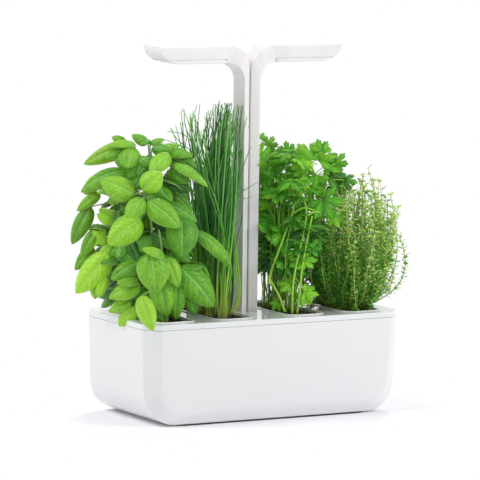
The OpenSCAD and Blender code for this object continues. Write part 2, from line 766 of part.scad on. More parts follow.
// Path of the cable from the stem into the head
function cable_path() = [
    [stem_in + stem_t / 2, mast_low - over],
    [stem_in + stem_t / 2, head_low - bend_r * 0.4],
    [stem_out + bend_r * 0.35, head_low + head_t * 0.45],
    [pocket_x0 + over, head_low + head_t * 0.5]
];

module arm() difference() {
    arm_form();
    along_z(head_low - over, pocket_z) polygon(box_from(stem_out + bend_r, head_l + over, 2 * head_half));
    along_z(pocket_z - over, lamp_top - lamp_wall) polygon(arm_plan(lamp_wall, pocket_x0, pocket_x1));
    along_y(lamp_y - cable_d / 2, lamp_y + cable_d / 2) polygon(strip(cable_path(), cable_w));
    clamp_holes(screw_d, 0, stem_out + over);
}

// A rectangle from x0 to x1 about the heads' middle
function box_from(x0, x1, half) =
    [[x0, head_y - half], [x1, head_y - half], [x1, head_y + half], [x0, head_y + half]];

module left_arm() color(white) mirror([1, 0, 0]) arm();
module right_arm() color(white) arm();

// The cover that closes the head from below, with a window for the diffuser
module cover() difference() {
    intersection() {
        arm_form();
        along_z(head_low - over, pocket_z) polygon(box_from(stem_out + bend_r, head_l + over, 2 * head_half));
    }
    along_z(head_low - over, pocket_z + over) polygon(window_plan(0));
}

function window_plan(grow) =
    box_from(pocket_x0 + window_in - grow, pocket_x1 - window_in + grow, window_half + grow);

module diffuser() {
    along_z(head_low + 0.6, pocket_z) polygon(window_plan(-fit));
    along_z(pocket_z, pocket_z + lip_t) polygon(window_plan(lip_w));
}

module led_board() along_z(led_z, led_z + board_t)
    polygon(box_from(pocket_x0 + plate_gap, pocket_x1 - plate_gap, plate_half));

module leds() for (i = [0:led_count - 1]) for (s = [-1, 1])
    translate([mix(pocket_x0 + 9, pocket_x1 - 9, i / (led_count - 1)) - led_w / 2,
               head_y + s * led_row - led_w / 2, led_z - 1])
        cube([led_w, led_w, 1]);

module heatsink() {
    low = led_z + board_t;
    along_z(low, low + sink_t) polygon(box_from(pocket_x0 + plate_gap, pocket_x1 - plate_gap, plate_half));
    for (i = [-2:2]) translate([pocket_x0 + fin_near, head_y + i * fin_step - fin_t / 2, low + sink_t - eps])
        cube([pocket_x1 - pocket_x0 - fin_near - fin_far, fin_t,
              lamp_top - lamp_wall - low - sink_t + eps]);
}

// Flat cable in the stem's channel, ending on the diodes' heat sink
module wiring() intersection() {
    along_y(lamp_y - cable_d / 2 + slip, lamp_y + cable_d / 2 - slip)
        polygon(strip(cable_path(), cable_w - 2 * slip));
    along_z(mast_low, lamp_top) polygon(box_from(stem_in, pocket_x0 + over / 2, head_half));
}

module clamp_holes(d, x0, x1) for (z = clamp_rows) rod_x(clamp_y, mast_low + z, d, x0, x1);

module mast_spine() color(dark) difference() {
    translate([-stem_in, lamp_y - stem_half_in + 3.5, mast_low])
        cube([stem_gap, 2 * stem_half_in - 4, spine_top - mast_low]);
    clamp_holes(screw_d, -stem_out, stem_out);
}

module clamp_screws() color(steel) clamp_holes(screw_d, -stem_out + 1, stem_out - 1);

module mast_shoe() color(dark) translate([0, lamp_y, 0]) along_z(mast_low - shoe_h, mast_low)
    polygon(box_outline(stem_out, stem_half));

outer_casing();
foot_strip();
foot_screws();
water_tank();
tank_seal();
deck();
mast_socket();
socket_screws();
grip_pads();
control_board();
board_parts();
board_screws();
dc_jack();
jack_pin();
power_lead();
button_board();
button_switch();
button_screws();
float_guide();
left_arm();
right_arm();
mast_spine();
mast_shoe();
clamp_screws();
color(white) mirror([1, 0, 0]) cover();  // left_cover
color(white) cover();  // right_cover
color(pale_grey) mirror([1, 0, 0]) diffuser();  // left_diffuser
color(pale_grey) diffuser();  // right_diffuser
color(white) mirror([1, 0, 0]) led_board();  // left_led_board
color(white) led_board();  // right_led_board
color("#f3e27a") mirror([1, 0, 0]) leds();  // left_leds
color("#f3e27a") leds();  // right_leds
color(steel) mirror([1, 0, 0]) heatsink();  // left_heatsink
color(steel) heatsink();  // right_heatsink
color(dark) mirror([1, 0, 0]) wiring();  // left_wiring
color(dark) wiring();  // right_wiring
button_cap();
float();
float_tip();
color(white) translate([-outer_slot_x, pod_y, 0]) pod();  // basil_pod
color(soil_brown) translate([-outer_slot_x, pod_y, 0]) soil();  // basil_soil
color(pale_grey) translate([-outer_slot_x, pod_y, 0]) wick();  // basil_wick
color("#5fa02a") basil();  // basil_plant
color(white) translate([-inner_slot_x, pod_y, 0]) pod();  // chives_pod
color(soil_brown) translate([-inner_slot_x, pod_y, 0]) soil();  // chives_soil
color(pale_grey) translate([-inner_slot_x, pod_y, 0]) wick();  // chives_wick
color("#3c7d33") chives();  // chives_plant
color(white) translate([inner_slot_x, pod_y, 0]) pod();  // parsley_pod
color(soil_brown) translate([inner_slot_x, pod_y, 0]) soil();  // parsley_soil
color(pale_grey) translate([inner_slot_x, pod_y, 0]) wick();  // parsley_wick
color("#4b9a2c") parsley();  // parsley_plant
color(white) translate([outer_slot_x, pod_y, 0]) pod();  // thyme_pod
color(soil_brown) translate([outer_slot_x, pod_y, 0]) soil();  // thyme_soil
color(pale_grey) translate([outer_slot_x, pod_y, 0]) wick();  // thyme_wick
color("#7d9a4a") thyme();  // thyme_plant
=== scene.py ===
"""Countertop garden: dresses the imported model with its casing, deck, lamp, pods, soil and herbs.

Sizes are metres, angles degrees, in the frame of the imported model: X right along the body,
Y to the back, Z up, origin on the table below the middle of the body.
"""

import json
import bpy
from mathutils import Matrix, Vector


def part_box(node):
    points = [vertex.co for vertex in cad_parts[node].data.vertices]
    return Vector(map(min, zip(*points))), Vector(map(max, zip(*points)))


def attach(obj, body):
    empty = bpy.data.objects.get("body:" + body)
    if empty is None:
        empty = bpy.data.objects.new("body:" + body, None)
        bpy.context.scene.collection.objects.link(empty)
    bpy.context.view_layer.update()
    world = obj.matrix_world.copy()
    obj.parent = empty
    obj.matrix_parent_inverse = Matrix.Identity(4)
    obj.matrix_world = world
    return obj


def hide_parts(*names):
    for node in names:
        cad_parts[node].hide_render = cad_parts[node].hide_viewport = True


bl_info = {
    "name": "Countertop Garden",
    "version": (1, 0, 0),
    "blender": (4, 5, 0),
    "location": "View3D > Sidebar > Garden",
    "description": "Builds the looks of a countertop hydroponic garden around its packed model",
    "category": "Object",
}

import bmesh
import bpy
import numpy as np
from bpy.props import FloatProperty, FloatVectorProperty, IntProperty, PointerProperty
from mathutils import Matrix, Vector

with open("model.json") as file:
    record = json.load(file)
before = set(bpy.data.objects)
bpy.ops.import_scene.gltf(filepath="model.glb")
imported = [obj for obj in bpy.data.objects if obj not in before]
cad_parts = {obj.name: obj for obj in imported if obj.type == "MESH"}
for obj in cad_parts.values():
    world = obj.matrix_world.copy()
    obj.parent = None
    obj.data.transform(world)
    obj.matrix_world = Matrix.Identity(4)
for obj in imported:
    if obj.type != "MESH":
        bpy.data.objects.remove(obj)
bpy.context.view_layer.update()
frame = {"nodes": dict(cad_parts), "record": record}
HERBS = ("basil", "chives", "parsley", "thyme")
SEEDS = {"soil": 40, "basil": 7, "chives": 11, "parsley": 5, "thyme": 3}

UP = np.array([0, 0, 1.0])
MIRROR_Y = np.array([1, -1, 1])
GOLDEN_ANGLE = 2.39996  # radians from one spot of an even spiral to the next
QUARTER_TURN, HALF_TURN, FULL_TURN = 1.5708, 3.14159, 6.28  # rounded, in radians
ROOT_DEPTH = 0.002  # how far below the soil's top the stems start

# The camera: focal length and sensor width in millimetres; turn, height and roll in degrees;
# the point it looks at, its shifts to the right and up, and its distance in metres.
FOCAL_LENGTH, SENSOR_WIDTH = 298.39, 36.0
EYE_ANGLES = (-29.243, 6.489, 0.788)
EYE_TARGET = (0, 0, 0.180)
EYE_RIGHT, EYE_UP, EYE_DISTANCE = -0.00467, 0.02601, 4.76245

# The view in which single leaves are placed, in units of 1/480 of its width.
VIEW_WIDTH = 480
VIEW_MIDDLE = VIEW_WIDTH / 2
VIEW_FOCAL = VIEW_WIDTH / SENSOR_WIDTH * FOCAL_LENGTH


# ---- Sizes and colours ----


def size(name, description, default):
    """A length in metres, shown to a tenth of a millimetre."""
    return FloatProperty(name=name, description=description, default=default,
                         min=0.0, unit="LENGTH", precision=4)


def colour(name, description, default):
    """A colour of three parts from 0 to 1."""
    return FloatVectorProperty(name=name, description=description, default=default,
                               size=3, min=0.0, max=1.0, subtype="COLOR")


class CasingShape(bpy.types.PropertyGroup):
    """Sizes and colour of the casing"""
    bevel_length: size("Bevel length", "Length that each upright bevel takes off the front", 0.0155)
    bevel_depth: size("Bevel depth", "Depth that each upright bevel takes off the ends", 0.0175)
    lower_radius: size("Lower radius", "Radius of the two rounded lower corners", 0.039)
    panel_radius: size("Panel radius", "Radius of the lower corners of the front panel", 0.027)
    panel_rise: size("Panel rise", "Height from the underside to the foot of the panel", 0.014)
    base_depth: size("Base depth", "Depth of the flat underside", 0.152)
    edge_round: size("Edge rounding", "Rounding of the crisp upright edges", 0.0009)
    panel_round: size("Panel rounding", "Rounding between bevel and panel", 0.0045)
    wall: size("Wall", "Thickness of the wall", 0.0026)
    joint: size("Joint", "Height of the fine joint below the deck", 0.0004)
    draft: FloatProperty(name="Draft", description="Draft of panels and ends, in degrees",
                         default=2.0)
    colour: colour("Colour", "Gloss white of the casing", (0.845, 0.85, 0.862))


class LampShape(bpy.types.PropertyGroup):
    """Sizes and colour of the lamp"""
    stem: size("Stem", "Thickness of one stem", 0.0096)
    stem_half: size("Stem half depth", "Half depth of a stem along its outer face", 0.0143)
    stem_half_in: size("Slot half depth", "Half depth of a stem beside the slot", 0.0085)
    head: size("Head", "Thickness of a head", 0.0205)
    head_half: size("Head half depth", "Half depth of a head where it is widest", 0.0235)
    tip_half: size("Tip half depth", "Half depth of a head at its tip", 0.021)
    flare: size("Flare", "Distance from the middle to the widest place", 0.050)
    back: size("Head back", "How far the heads' middle lies behind the mast's", 0.009)
    shoulder_radius: size("Shoulder radius", "Radius above, where the stems part", 0.029)
    bend_radius: size("Bend radius", "Radius below the heads", 0.022)
    tip_length: size("Tip length", "Length of the rounded tip", 0.030)
    tip_edge: size("Tip edge", "Thickness left at the tip", 0.0015)
    edge_round: size("Edge rounding", "Rounding of the long edges", 0.0012)
    cover: size("Cover", "Thickness of the cover below a head", 0.0045)
    colour: colour("Colour", "Warm white of the lamp", (0.83, 0.81, 0.80))


class StageShape(bpy.types.PropertyGroup):
    """The floor, the light and the camera"""
    floor: size("Floor", "Half width of the floor", 3.0)
    focal: FloatProperty(name="Focal length", description="Camera's focal length in millimetres",
                         default=FOCAL_LENGTH, unit="CAMERA")
    daylight: FloatProperty(name="Daylight", description="Strength of the even light", default=0.49)
    white_from: size("White from", "Distance from the casing at which the floor starts to whiten",
                     0.015)
    white_to: size("White to", "Distance from the casing beyond which the floor is plain white",
                   0.085)


# ---- Points and meshes ----


def arc(centre, radius, start, end, count):
    """Points (count, 2) of a circle about centre, from angle start to angle end in degrees."""
    a = np.radians(np.linspace(start, end, count))
    return np.stack([centre[0] + radius * np.cos(a), centre[1] + radius * np.sin(a)], 1)


def line(a, b, count):
    """count points from a to b, in equal steps."""
    return np.asarray(a) + (np.asarray(b) - np.asarray(a)) * np.linspace(0, 1, count)[:, None]


def ease(t):
    """A smooth step from 0 to 1: 3t^2 - 2t^3, held at its ends."""
    t = np.clip(t, 0, 1)
    return t * t * (3 - 2 * t)


def unit(v):
    """Vectors scaled to length one along their last axis."""
    return v / np.maximum(np.linalg.norm(v, axis=-1, keepdims=True), 1e-12)


def on_ground(p):
    """Points or vectors (..., 2) in X and Y, given a Z of 0."""
    return np.pad(p, ((0, 0),) * (p.ndim - 1) + ((0, 1),))


def between(a, b, shares):
    """Rows of points (n, shares, 3) on the straight lines from points a to points b."""
    return a[:, None] + (b - a)[:, None] * np.asarray(shares)[:, None]


def quads(rows, cols, wrap_rows=False, wrap_cols=False):
    """Corner numbers of the faces between neighbouring points of a rows by cols grid."""
    r, c = np.meshgrid(np.arange(rows if wrap_rows else rows - 1),
                       np.arange(cols if wrap_cols else cols - 1), indexing="ij")
    r2, c2 = (r + 1) % rows, (c + 1) % cols
    return np.stack([r * cols + c, r2 * cols + c, r2 * cols + c2, r * cols + c2], -1).reshape(-1, 4)


def fillet(before, corner, after, radius, count):
    """Points that round a corner: corner + a r (1-t)^2 + b r t^2, with a and b the unit
    vectors from the corner to its neighbours and r held under half of either side."""
    a, b = before - corner, after - corner
    room = np.minimum(np.linalg.norm(a, axis=-1), np.linalg.norm(b, axis=-1)) * 0.48
    r = np.minimum(radius, room)[..., None, None]
    t = np.linspace(0, 1, count)[:, None]
    return (corner[..., None, :] + unit(a)[..., None, :] * r * (1 - t) ** 2
            + unit(b)[..., None, :] * r * t ** 2)


def rounded_box(half_x, half_y, radius, count):
    """Closed outline of a rectangle with round corners, count points to a corner, and eight
    more along each side, anticlockwise from the right."""
    x, y = half_x - radius, half_y - radius
    corners = [arc((sx * x, sy * y), radius, a, a + 90, count)
               for sx, sy, a in ((1, 1, 0), (-1, 1, 90), (-1, -1, 180), (1, -1, 270))]
    sides = [line(corners[k][-1], corners[(k + 1) % 4][0], 10)[1:-1] for k in range(4)]
    return np.concatenate([p for pair in zip(corners, sides) for p in pair])


def linked(name, data):
    """A new object that shows the data, linked into the scene."""
    thing = bpy.data.objects.new(name, data)
    bpy.context.scene.collection.objects.link(thing)
    return thing


class Sheets:
    """Collects grids of points into one mesh, with values for each point."""

    def __init__(self):
        self.points, self.faces, self.caps, self.values = [], [], [], []
        self.count = 0

    def add(self, grid, wrap_rows=False, wrap_cols=False, values=0.0, cap=False):
        """Adds a stack of grids (..., rows, cols, 3), with one value or three for each point."""
        rows, cols = grid.shape[-3:-1]
        stack = grid.reshape(-1, rows * cols, 3)
        face = quads(rows, cols, wrap_rows, wrap_cols)
        start = self.count + np.arange(len(stack))[:, None, None] * rows * cols
        self.points.append(stack.reshape(-1, 3))
        self.faces.append((face[None] + start).reshape(-1, 4))
        if cap:
            first = np.arange(cols)[::-1]
            for s in start[:, 0, 0]:
                self.caps.append((first + s).tolist())
                self.caps.append((first[::-1] + (rows - 1) * cols + s).tolist())
        if np.ndim(values) == 0:
            values = np.full(grid.shape[:-1] + (3,), float(values))
        self.values.append(np.broadcast_to(values, grid.shape[:-1] + (3,)).reshape(-1, 3))
        self.count += len(stack) * rows * cols
        return self

    def piece(self, name, material, smooth=True, weld=1e-6, outward=True):
        """The mesh object; its point values are kept in the attribute named grain."""
        mesh = bpy.data.meshes.new(name)
        faces = np.concatenate(self.faces).tolist() + self.caps
        mesh.from_pydata(np.concatenate(self.points).tolist(), [], faces)
        grain = mesh.attributes.new("grain", "FLOAT_VECTOR", "POINT")
        grain.data.foreach_set("vector", np.concatenate(self.values).ravel())
        if weld or outward:
            shape = bmesh.new()
            shape.from_mesh(mesh)
            if weld:
                bmesh.ops.remove_doubles(shape, verts=shape.verts, dist=weld)
                bmesh.ops.dissolve_degenerate(shape, edges=shape.edges, dist=weld)
            if outward:
                bmesh.ops.recalc_face_normals(shape, faces=shape.faces)
            shape.to_mesh(mesh)
            shape.free()
        mesh.polygons.foreach_set("use_smooth", np.full(len(mesh.polygons), smooth))
        mesh.update()
        mesh.materials.append(material)
        return linked(name, mesh)


def tubes(paths, radii, sides):
    """Grids (k, n, sides, 3) of tubes round k paths (k, n, 3), with radii (k, n). Each ring lies
    across its path: centre + r (cos a, sin a) in the plane square to the path's direction."""
    d = unit(np.gradient(paths, axis=1))
    flat = np.abs(d[..., 2:3]) < 0.9
    side = unit(np.cross(d, np.where(flat, [0.0, 0.0, 1.0], [1.0, 0.0, 0.0])))
    side[:, 1:] = side[:, 1:] * np.sign(np.sum(side[:, 1:] * side[:, :1], -1, keepdims=True) + 1e-9)
    up = np.cross(d, side)
    a = np.linspace(0, 2 * np.pi, sides, endpoint=False)
    ring = side[..., None, :] * np.cos(a)[:, None] + up[..., None, :] * np.sin(a)[:, None]
    return paths[..., None, :] + ring * radii[..., None, None]


def smooth_path(points, count):
    """A Catmull-Rom curve through points (m, 3), count points in all."""
    p = np.asarray(points, float)
    p = np.concatenate([2 * p[:1] - p[1:2], p, 2 * p[-1:] - p[-2:-1]])
    s = np.linspace(0, len(p) - 3 - 1e-9, count)
    k = s.astype(int)
    t = (s - k)[:, None]
    a, b, c, d = p[k], p[k + 1], p[k + 2], p[k + 3]
    return 0.5 * (2 * b + (c - a) * t + (2 * a - 5 * b + 4 * c - d) * t ** 2
                  + (3 * b - a - 3 * c + d) * t ** 3)


def modifier(thing, kind, **settings):
    """Adds a modifier with the given settings."""
    m = thing.modifiers.new(kind.title(), kind)
    for key, value in settings.items():
        setattr(m, key, value)


def place(thing, body, slot, *nodes):
    """The piece rides on a body and hides the CAD nodes it stands for; slot is not used."""
    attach(thing, body)
    if nodes:
        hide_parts(*nodes)


def softened(node, name, width, material, segments=2):
    """A welded copy of a CAD node with its sharp edges rounded by a Bevel modifier."""
    mesh = frame["nodes"][node].data.copy()
    mesh.name = name
    shape = bmesh.new()
    shape.from_mesh(mesh)
    bmesh.ops.remove_doubles(shape, verts=shape.verts, dist=2e-6)
    bmesh.ops.dissolve_limit(shape, angle_limit=np.radians(0.6), verts=shape.verts,
                             edges=shape.edges)
    shape.to_mesh(mesh)
    shape.free()
    mesh.polygons.foreach_set("use_smooth", np.ones(len(mesh.polygons), bool))
    mesh.set_sharp_from_angle(angle=np.radians(28))
    mesh.materials.clear()
    mesh.materials.append(material)
    thing = linked(name, mesh)
    modifier(thing, "BEVEL", width=width, segments=segments, limit_method="ANGLE",
             angle_limit=np.radians(35), use_clamp_overlap=True)
    return thing


# ---- Finishes ----


class Wire:
    """A shader socket that takes part in arithmetic: each operator adds a Math node."""

    def __init__(self, nodes, socket):
        self.nodes, self.socket = nodes, socket

    def maths(self, operation, *terms):
        """The result of a Math node on the terms."""
        return self.nodes.node("Math", {"operation": operation}, dict(enumerate(terms)))

    def __add__(self, other):
        return self.maths("ADD", self, other)

    def __sub__(self, other):
        return self.maths("SUBTRACT", self, other)

    def __rsub__(self, other):
        return self.maths("SUBTRACT", other, self)

    def __mul__(self, other):
        return self.maths("MULTIPLY", self, other)

    def __pow__(self, other):
        return self.maths("POWER", self, other)

    def sin(self):
        return self.maths("SINE", self)

    def absolute(self):
        return self.maths("ABSOLUTE", self)

    def larger(self, other):
        return self.maths("MAXIMUM", self, other)

    def over(self, low, high):
        """0 up to low, 1 from high on, and a smooth step between."""
        return self.nodes.node("MapRange", {"interpolation_type": "SMOOTHSTEP"},
                               {"Value": self, "From Min": low, "From Max": high})

    __radd__ = __add__
    __rmul__ = __mul__


class Nodes:
    """A node tree, to which nodes are added one call at a time."""

    def __init__(self, tree):
        self.tree = tree

    def node(self, kind, settings=None, sockets=None, out=0):
        """Adds a node: its settings first, then the values or links of its sockets."""
        n = self.tree.nodes.new("ShaderNode" + kind)
        for key, value in (settings or {}).items():
            if key == "stops":
                for stop in list(n.color_ramp.elements)[1:]:
                    n.color_ramp.elements.remove(stop)
                n.color_ramp.elements[0].position = value[0][0]
                n.color_ramp.elements[0].color = (*value[0][1], 1)
                for position, tone in value[1:]:
                    n.color_ramp.elements.new(position).color = (*tone, 1)
            else:
                setattr(n, key, value)
        for key, value in (sockets or {}).items():
            self.link(value, n.inputs[key])
        return Wire(self, n.outputs[out])

    def link(self, value, socket):
        """Links a wire to the socket, or sets the socket's own value."""
        if isinstance(value, Wire):
            self.tree.links.new(value.socket, socket)
        elif socket.type == "RGBA" and len(value) == 3:
            socket.default_value = (*value, 1)
        else:
            socket.default_value = value

    def white_rays(self):
        """1 for a ray from the camera, off a glossy surface or through glass, 0 for any other."""
        path = self.node("LightPath").socket.node
        camera, glossy, through = (Wire(self, path.outputs[f"Is {kind} Ray"])
                                   for kind in ("Camera", "Glossy", "Transmission"))
        return camera.larger(glossy).larger(through)


class Finish(Nodes):
    """A material's node tree, ending in one Principled BSDF."""

    def __init__(self, name):
        self.material = bpy.data.materials.new(name)
        self.material.use_nodes = True
        super().__init__(self.material.node_tree)
        self.shader = self.tree.nodes["Principled BSDF"]

    def place(self):
        """The piece's own coordinates."""
        return self.node("TexCoord", out="Object")

    def grain(self, out):
        """Part out (0, 1 or 2) of the point values that a piece carries."""
        vector = self.node("Attribute", {"attribute_name": "grain"}, out="Vector")
        return self.node("SeparateXYZ", None, {"Vector": vector}, out=out)

    def noise(self, scale, detail=3.0, rough=0.5, at=None):
        """Noise from 0 to 1, with scale lumps to the metre."""
        return self.node("TexNoise", None, {"Vector": at or self.place(), "Scale": scale,
                                            "Detail": detail, "Roughness": rough})

    def mix(self, amount, a, b):
        """Colour a where amount is 0 and colour b where it is 1."""
        n = self.node("Mix", {"data_type": "RGBA"}, {0: amount}, out=2)
        self.link(a, n.socket.node.inputs[6])
        self.link(b, n.socket.node.inputs[7])
        return n

    def bump(self, height, depth):
        """Relief of a given depth in metres."""
        return self.node("Bump", None, {"Height": height, "Distance": depth, "Strength": 1.0})

    def ramp(self, amount, *stops):
        """Colours along a ramp, as pairs of a position and a colour."""
        return self.node("ValToRGB", {"stops": stops}, {"Fac": amount})

    def stretched(self, *scale):
        """The piece's own coordinates, scaled along X, Y and Z."""
        return self.node("Mapping", None, {"Vector": self.place(), "Scale": scale})

    def glow(self, strength):
        """Sets how strongly the emission colour shines."""
        self.shader.inputs["Emission Strength"].default_value = strength

    def done(self, **sockets):
        """Sets the shader's own sockets, named with _ for a space, and returns the material."""
        for key, value in sockets.items():
            self.link(value, self.shader.inputs[key.replace("_", " ")])
        return self.material


def scaled(tone, factor, offset=0.0):
    """A colour made darker or paler by a factor and an offset."""
    return tuple(c * factor + offset for c in tone)


def moulded(name, tone, roughness, coat=0.0, grain=900.0, relief=0.00002, shift=0.02):
    """Moulded plastic: an even tone with faint clouds, and a fine grain in gloss and relief."""
    f = Finish(name)
    cloud = f.noise(9.0, 2.0)
    fine = f.noise(grain, 2.0)
    return f.done(Base_Color=f.mix(cloud, scaled(tone, 1 - shift), tone),
                  Roughness=roughness - 0.04 + fine * 0.08,
                  Normal=f.bump(fine, relief), Coat_Weight=coat, Coat_Roughness=0.06)


def metal(name, tone, roughness, brushed=0.0):
    """Plain metal: fine streaks along X where it is brushed, and small changes of gloss."""
    f = Finish(name)
    squeeze = 1.0 + 12 * brushed
    streak = f.noise(260.0, 3.0, 0.6, f.stretched(1.0, squeeze, squeeze))
    return f.done(Base_Color=f.mix(streak, scaled(tone, 0.85), tone), Metallic=1.0,
                  Roughness=roughness - 0.08 + streak * 0.16, Normal=f.bump(streak, 0.00001))


def rubber(name, tone):
    """Soft matt rubber with a fine dusty grain."""
    f = Finish(name)
    dust = f.noise(700.0, 4.0, 0.6)
    return f.done(Base_Color=f.mix(dust.over(0.45, 0.75), tone, scaled(tone, 1.6, 0.01)),
                  Roughness=0.62 + dust * 0.2, Normal=f.bump(dust, 0.00006))


def circuit(name, tone):
    """A coated circuit board: tracks as a paler pattern of cells under a glossy skin."""
    f = Finish(name)
    cells = f.node("TexVoronoi", {"distance": "CHEBYCHEV"}, {"Vector": f.place(), "Scale": 320.0})
    track = cells.over(0.42, 0.5)
    return f.done(Base_Color=f.mix(track, tone, scaled(tone, 1.9, 0.02)),
                  Roughness=0.35 + track * 0.1, Normal=f.bump(track, 0.00003))


def felt(name, tone):
    """Felt: short tangled fibres in colour and relief."""
    f = Finish(name)
    fibre = f.noise(1100.0, 6.0, 0.7, f.stretched(1.0, 1.0, 2.4))
    return f.done(Base_Color=f.mix(fibre, scaled(tone, 0.7), tone), Roughness=0.9,
                  Normal=f.bump(fibre, 0.0002), Sheen_Weight=0.3)


def earth(name):
    """Potting soil: near-black crumbs with rust-brown and straw-coloured bits."""
    f = Finish(name)
    crumb = f.noise(420.0, 6.0, 0.7)
    bits = f.node("TexVoronoi", None, {"Vector": f.place(), "Scale": 520.0}, out=1)
    bit = f.node("SeparateColor", None, {"Color": bits})
    base = f.ramp(crumb, (0.3, (0.010, 0.007, 0.005)), (0.55, (0.035, 0.022, 0.014)),
                  (0.75, (0.085, 0.052, 0.030)))
    return f.done(Base_Color=f.mix(bit.over(0.93, 0.97), base, (0.30, 0.22, 0.12)),
                  Roughness=0.85, Normal=f.bump(crumb, 0.0012))


# ---- Casing and deck ----


def u_half(half, top, low, radius, draft, side, bend, flat):
    """Right half of an upright U, from the top of its drafted side round the lower corner to
    the middle of its floor, with side, bend and flat points in the three stretches."""
    d = np.radians(draft)
    centre = (half + ((low + radius - top) * np.sin(d) - radius) / np.cos(d), low + radius)
    turn = arc(centre, radius, -draft, -90, bend)
    return np.concatenate([line((half, top), turn[0], side)[:-1], turn,
                           line(turn[-1], (0.0, low), flat)[1:]])


def casing_grids(c, low, high):
    """The casing's outside as a skin P(s, t) and two flat panels: s follows the U, and t crosses
    from the front panel over its bevel, along the end and over the bevel behind."""
    top, depth, half = high.z - c.joint, (high.y - low.y) / 2, high.x
    steps = dict(side=24, bend=24, flat=14)
    wide = c.panel_round * 1.6
    rise = low.z + c.panel_rise
    outer = u_half(half, top, low.z, c.lower_radius, c.draft, **steps)
    panel = u_half(half - c.bevel_length, top, rise, c.panel_radius, c.draft, **steps)
    field = u_half(half - c.bevel_length - wide, top, rise + wide, c.panel_radius - wide,
                   c.draft, **steps)

    def full(p):
        return np.concatenate([p, p[-2::-1] * [-1, 1]])

    def on_panel(p):
        return np.insert(p, 1, (top - p[:, 1]) * np.tan(np.radians(c.draft)) - depth, axis=1)

    bend = np.concatenate([np.zeros(steps["side"] - 1), np.linspace(0, 1, steps["bend"]),
                           np.ones(steps["flat"] - 1)])
    edge_y = depth - c.bevel_depth + (c.base_depth / 2 - depth + c.bevel_depth) * ease(bend)
    edge = np.insert(full(outer), 1, -np.concatenate([edge_y, edge_y[-2::-1]]), axis=1)
    inner, rim = on_panel(full(field)), on_panel(full(panel))
    soft = fillet(inner, rim, edge, c.panel_round, 9)
    crisp = fillet(rim, edge, edge * MIRROR_Y, c.edge_round, 5)
    middle = between(edge, edge * MIRROR_Y, np.linspace(0.02, 0.98, 9))
    band = between(rim, edge, (0.45, 0.85))
    front = np.concatenate([inner[:, None, :], soft, band, crisp], axis=1)
    skin = np.concatenate([front, middle, front[:, ::-1] * MIRROR_Y], axis=1)
    rows = steps["side"] + steps["bend"] - 1
    across = np.linspace(1, -1, 2 * steps["flat"] - 1)
    even = np.ones_like(across)
    fill = on_panel(field)[:rows, None] * np.stack([across, even, even], -1)
    return skin, fill, fill * MIRROR_Y


def carve(thing, cutter):
    """Takes the cutter's form out of a piece and keeps the plain result."""
    modifier(thing, "BOOLEAN", object=cutter, operation="DIFFERENCE", solver="EXACT")
    scene_now = bpy.context.evaluated_depsgraph_get()
    mesh = bpy.data.meshes.new_from_object(thing.evaluated_get(scene_now))
    mesh.set_sharp_from_angle(angle=np.radians(50))
    thing.modifiers.clear()
    thing.data = mesh
    bpy.data.objects.remove(cutter)


class GARDEN_OT_casing(bpy.types.Operator):
    """Builds the gloss white casing with its bevelled corners, panels and inlet seat"""
    bl_idname = "garden.casing"
    bl_label = "Casing"

    inlet: size("Inlet", "Radius of the hole for the power inlet", 0.0056)
    seat: size("Seat", "Radius of the flat seat round that hole", 0.008)

    def execute(self, context):
        c = context.scene.garden_casing
        low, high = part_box("outer_casing")
        skin, front, back = casing_grids(c, low, high)
        sheets = Sheets().add(skin).add(front).add(back)
        white = moulded("casing gloss", c.colour, 0.22, coat=0.35, grain=500.0, relief=0.000004,
                        shift=0.012)
        casing = sheets.piece("casing_shell", white, weld=2e-5)
        modifier(casing, "SOLIDIFY", thickness=c.wall, offset=-1.0, use_even_offset=True)
        flange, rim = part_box("dc_jack")
        middle = np.array((flange + rim) / 2)
        sink, reach = 0.0016, 0.02  # depth of the seat below the rim, length of the cutter each way
        seat = rim.y - sink
        bored = np.array([[0.0, -reach], [self.inlet, -reach], [self.inlet, 0.0],
                          [self.seat, 0.0], [self.seat, reach], [0.0, reach]])
        a = np.linspace(0, 2 * np.pi, 48, endpoint=False)
        cut = np.stack([middle[0] + bored[:, :1] * np.cos(a), seat + bored[:, 1:] + 0 * a,
                        middle[2] + bored[:, :1] * np.sin(a)], -1)
        cutter = Sheets().add(cut, wrap_cols=True).piece("inlet_cut", white, smooth=False)
        carve(casing, cutter)
        place(casing, "root", "white_gloss", "outer_casing")
        return {"FINISHED"}


class GARDEN_OT_deck(bpy.types.Operator):
    """Rounds the edges of the deck and its openings"""
    bl_idname = "garden.deck"
    bl_label = "Deck"

    def execute(self, context):
        tone = context.scene.garden_casing.colour
        white = moulded("deck gloss", tone, 0.16, coat=0.5, grain=500.0, relief=0.000004,
                        shift=0.012)
        place(softened("deck", "deck_plate", 0.0006, white), "root", "white_gloss", "deck")
        return {"FINISHED"}


# ---- Pods and soil ----


def pod_grid(half_x, half_y, radius, wall, lip, rim, low, deck, top):
    """A pod as a profile carried round its outline: each profile point is an offset from the
    open top and a height, from the bottom up the outside, over the rim and down the inside."""
    gap = 0.0001  # between the deck's top and the rim that rests on it
    profile = [(wall - 0.004, low), (wall - 0.001, low), (wall, low + 0.001), (wall, deck - 0.003),
               (wall, deck + gap), (lip - 2 * gap, deck + gap), (lip, deck + 0.0003)]
    profile += [(lip - rim * (1 - np.cos(a)), top - rim + rim * np.sin(a))
                for a in np.radians(np.linspace(0, 90, 5))]
    profile += [(rim, top), (rim * 0.3, top - rim * 0.3), (0.0, top - rim), (0.0, low + wall)]
    return np.array([np.insert(rounded_box(half_x + offset, half_y + offset, radius + offset, 10),
                               2, z, axis=1) for offset, z in profile])


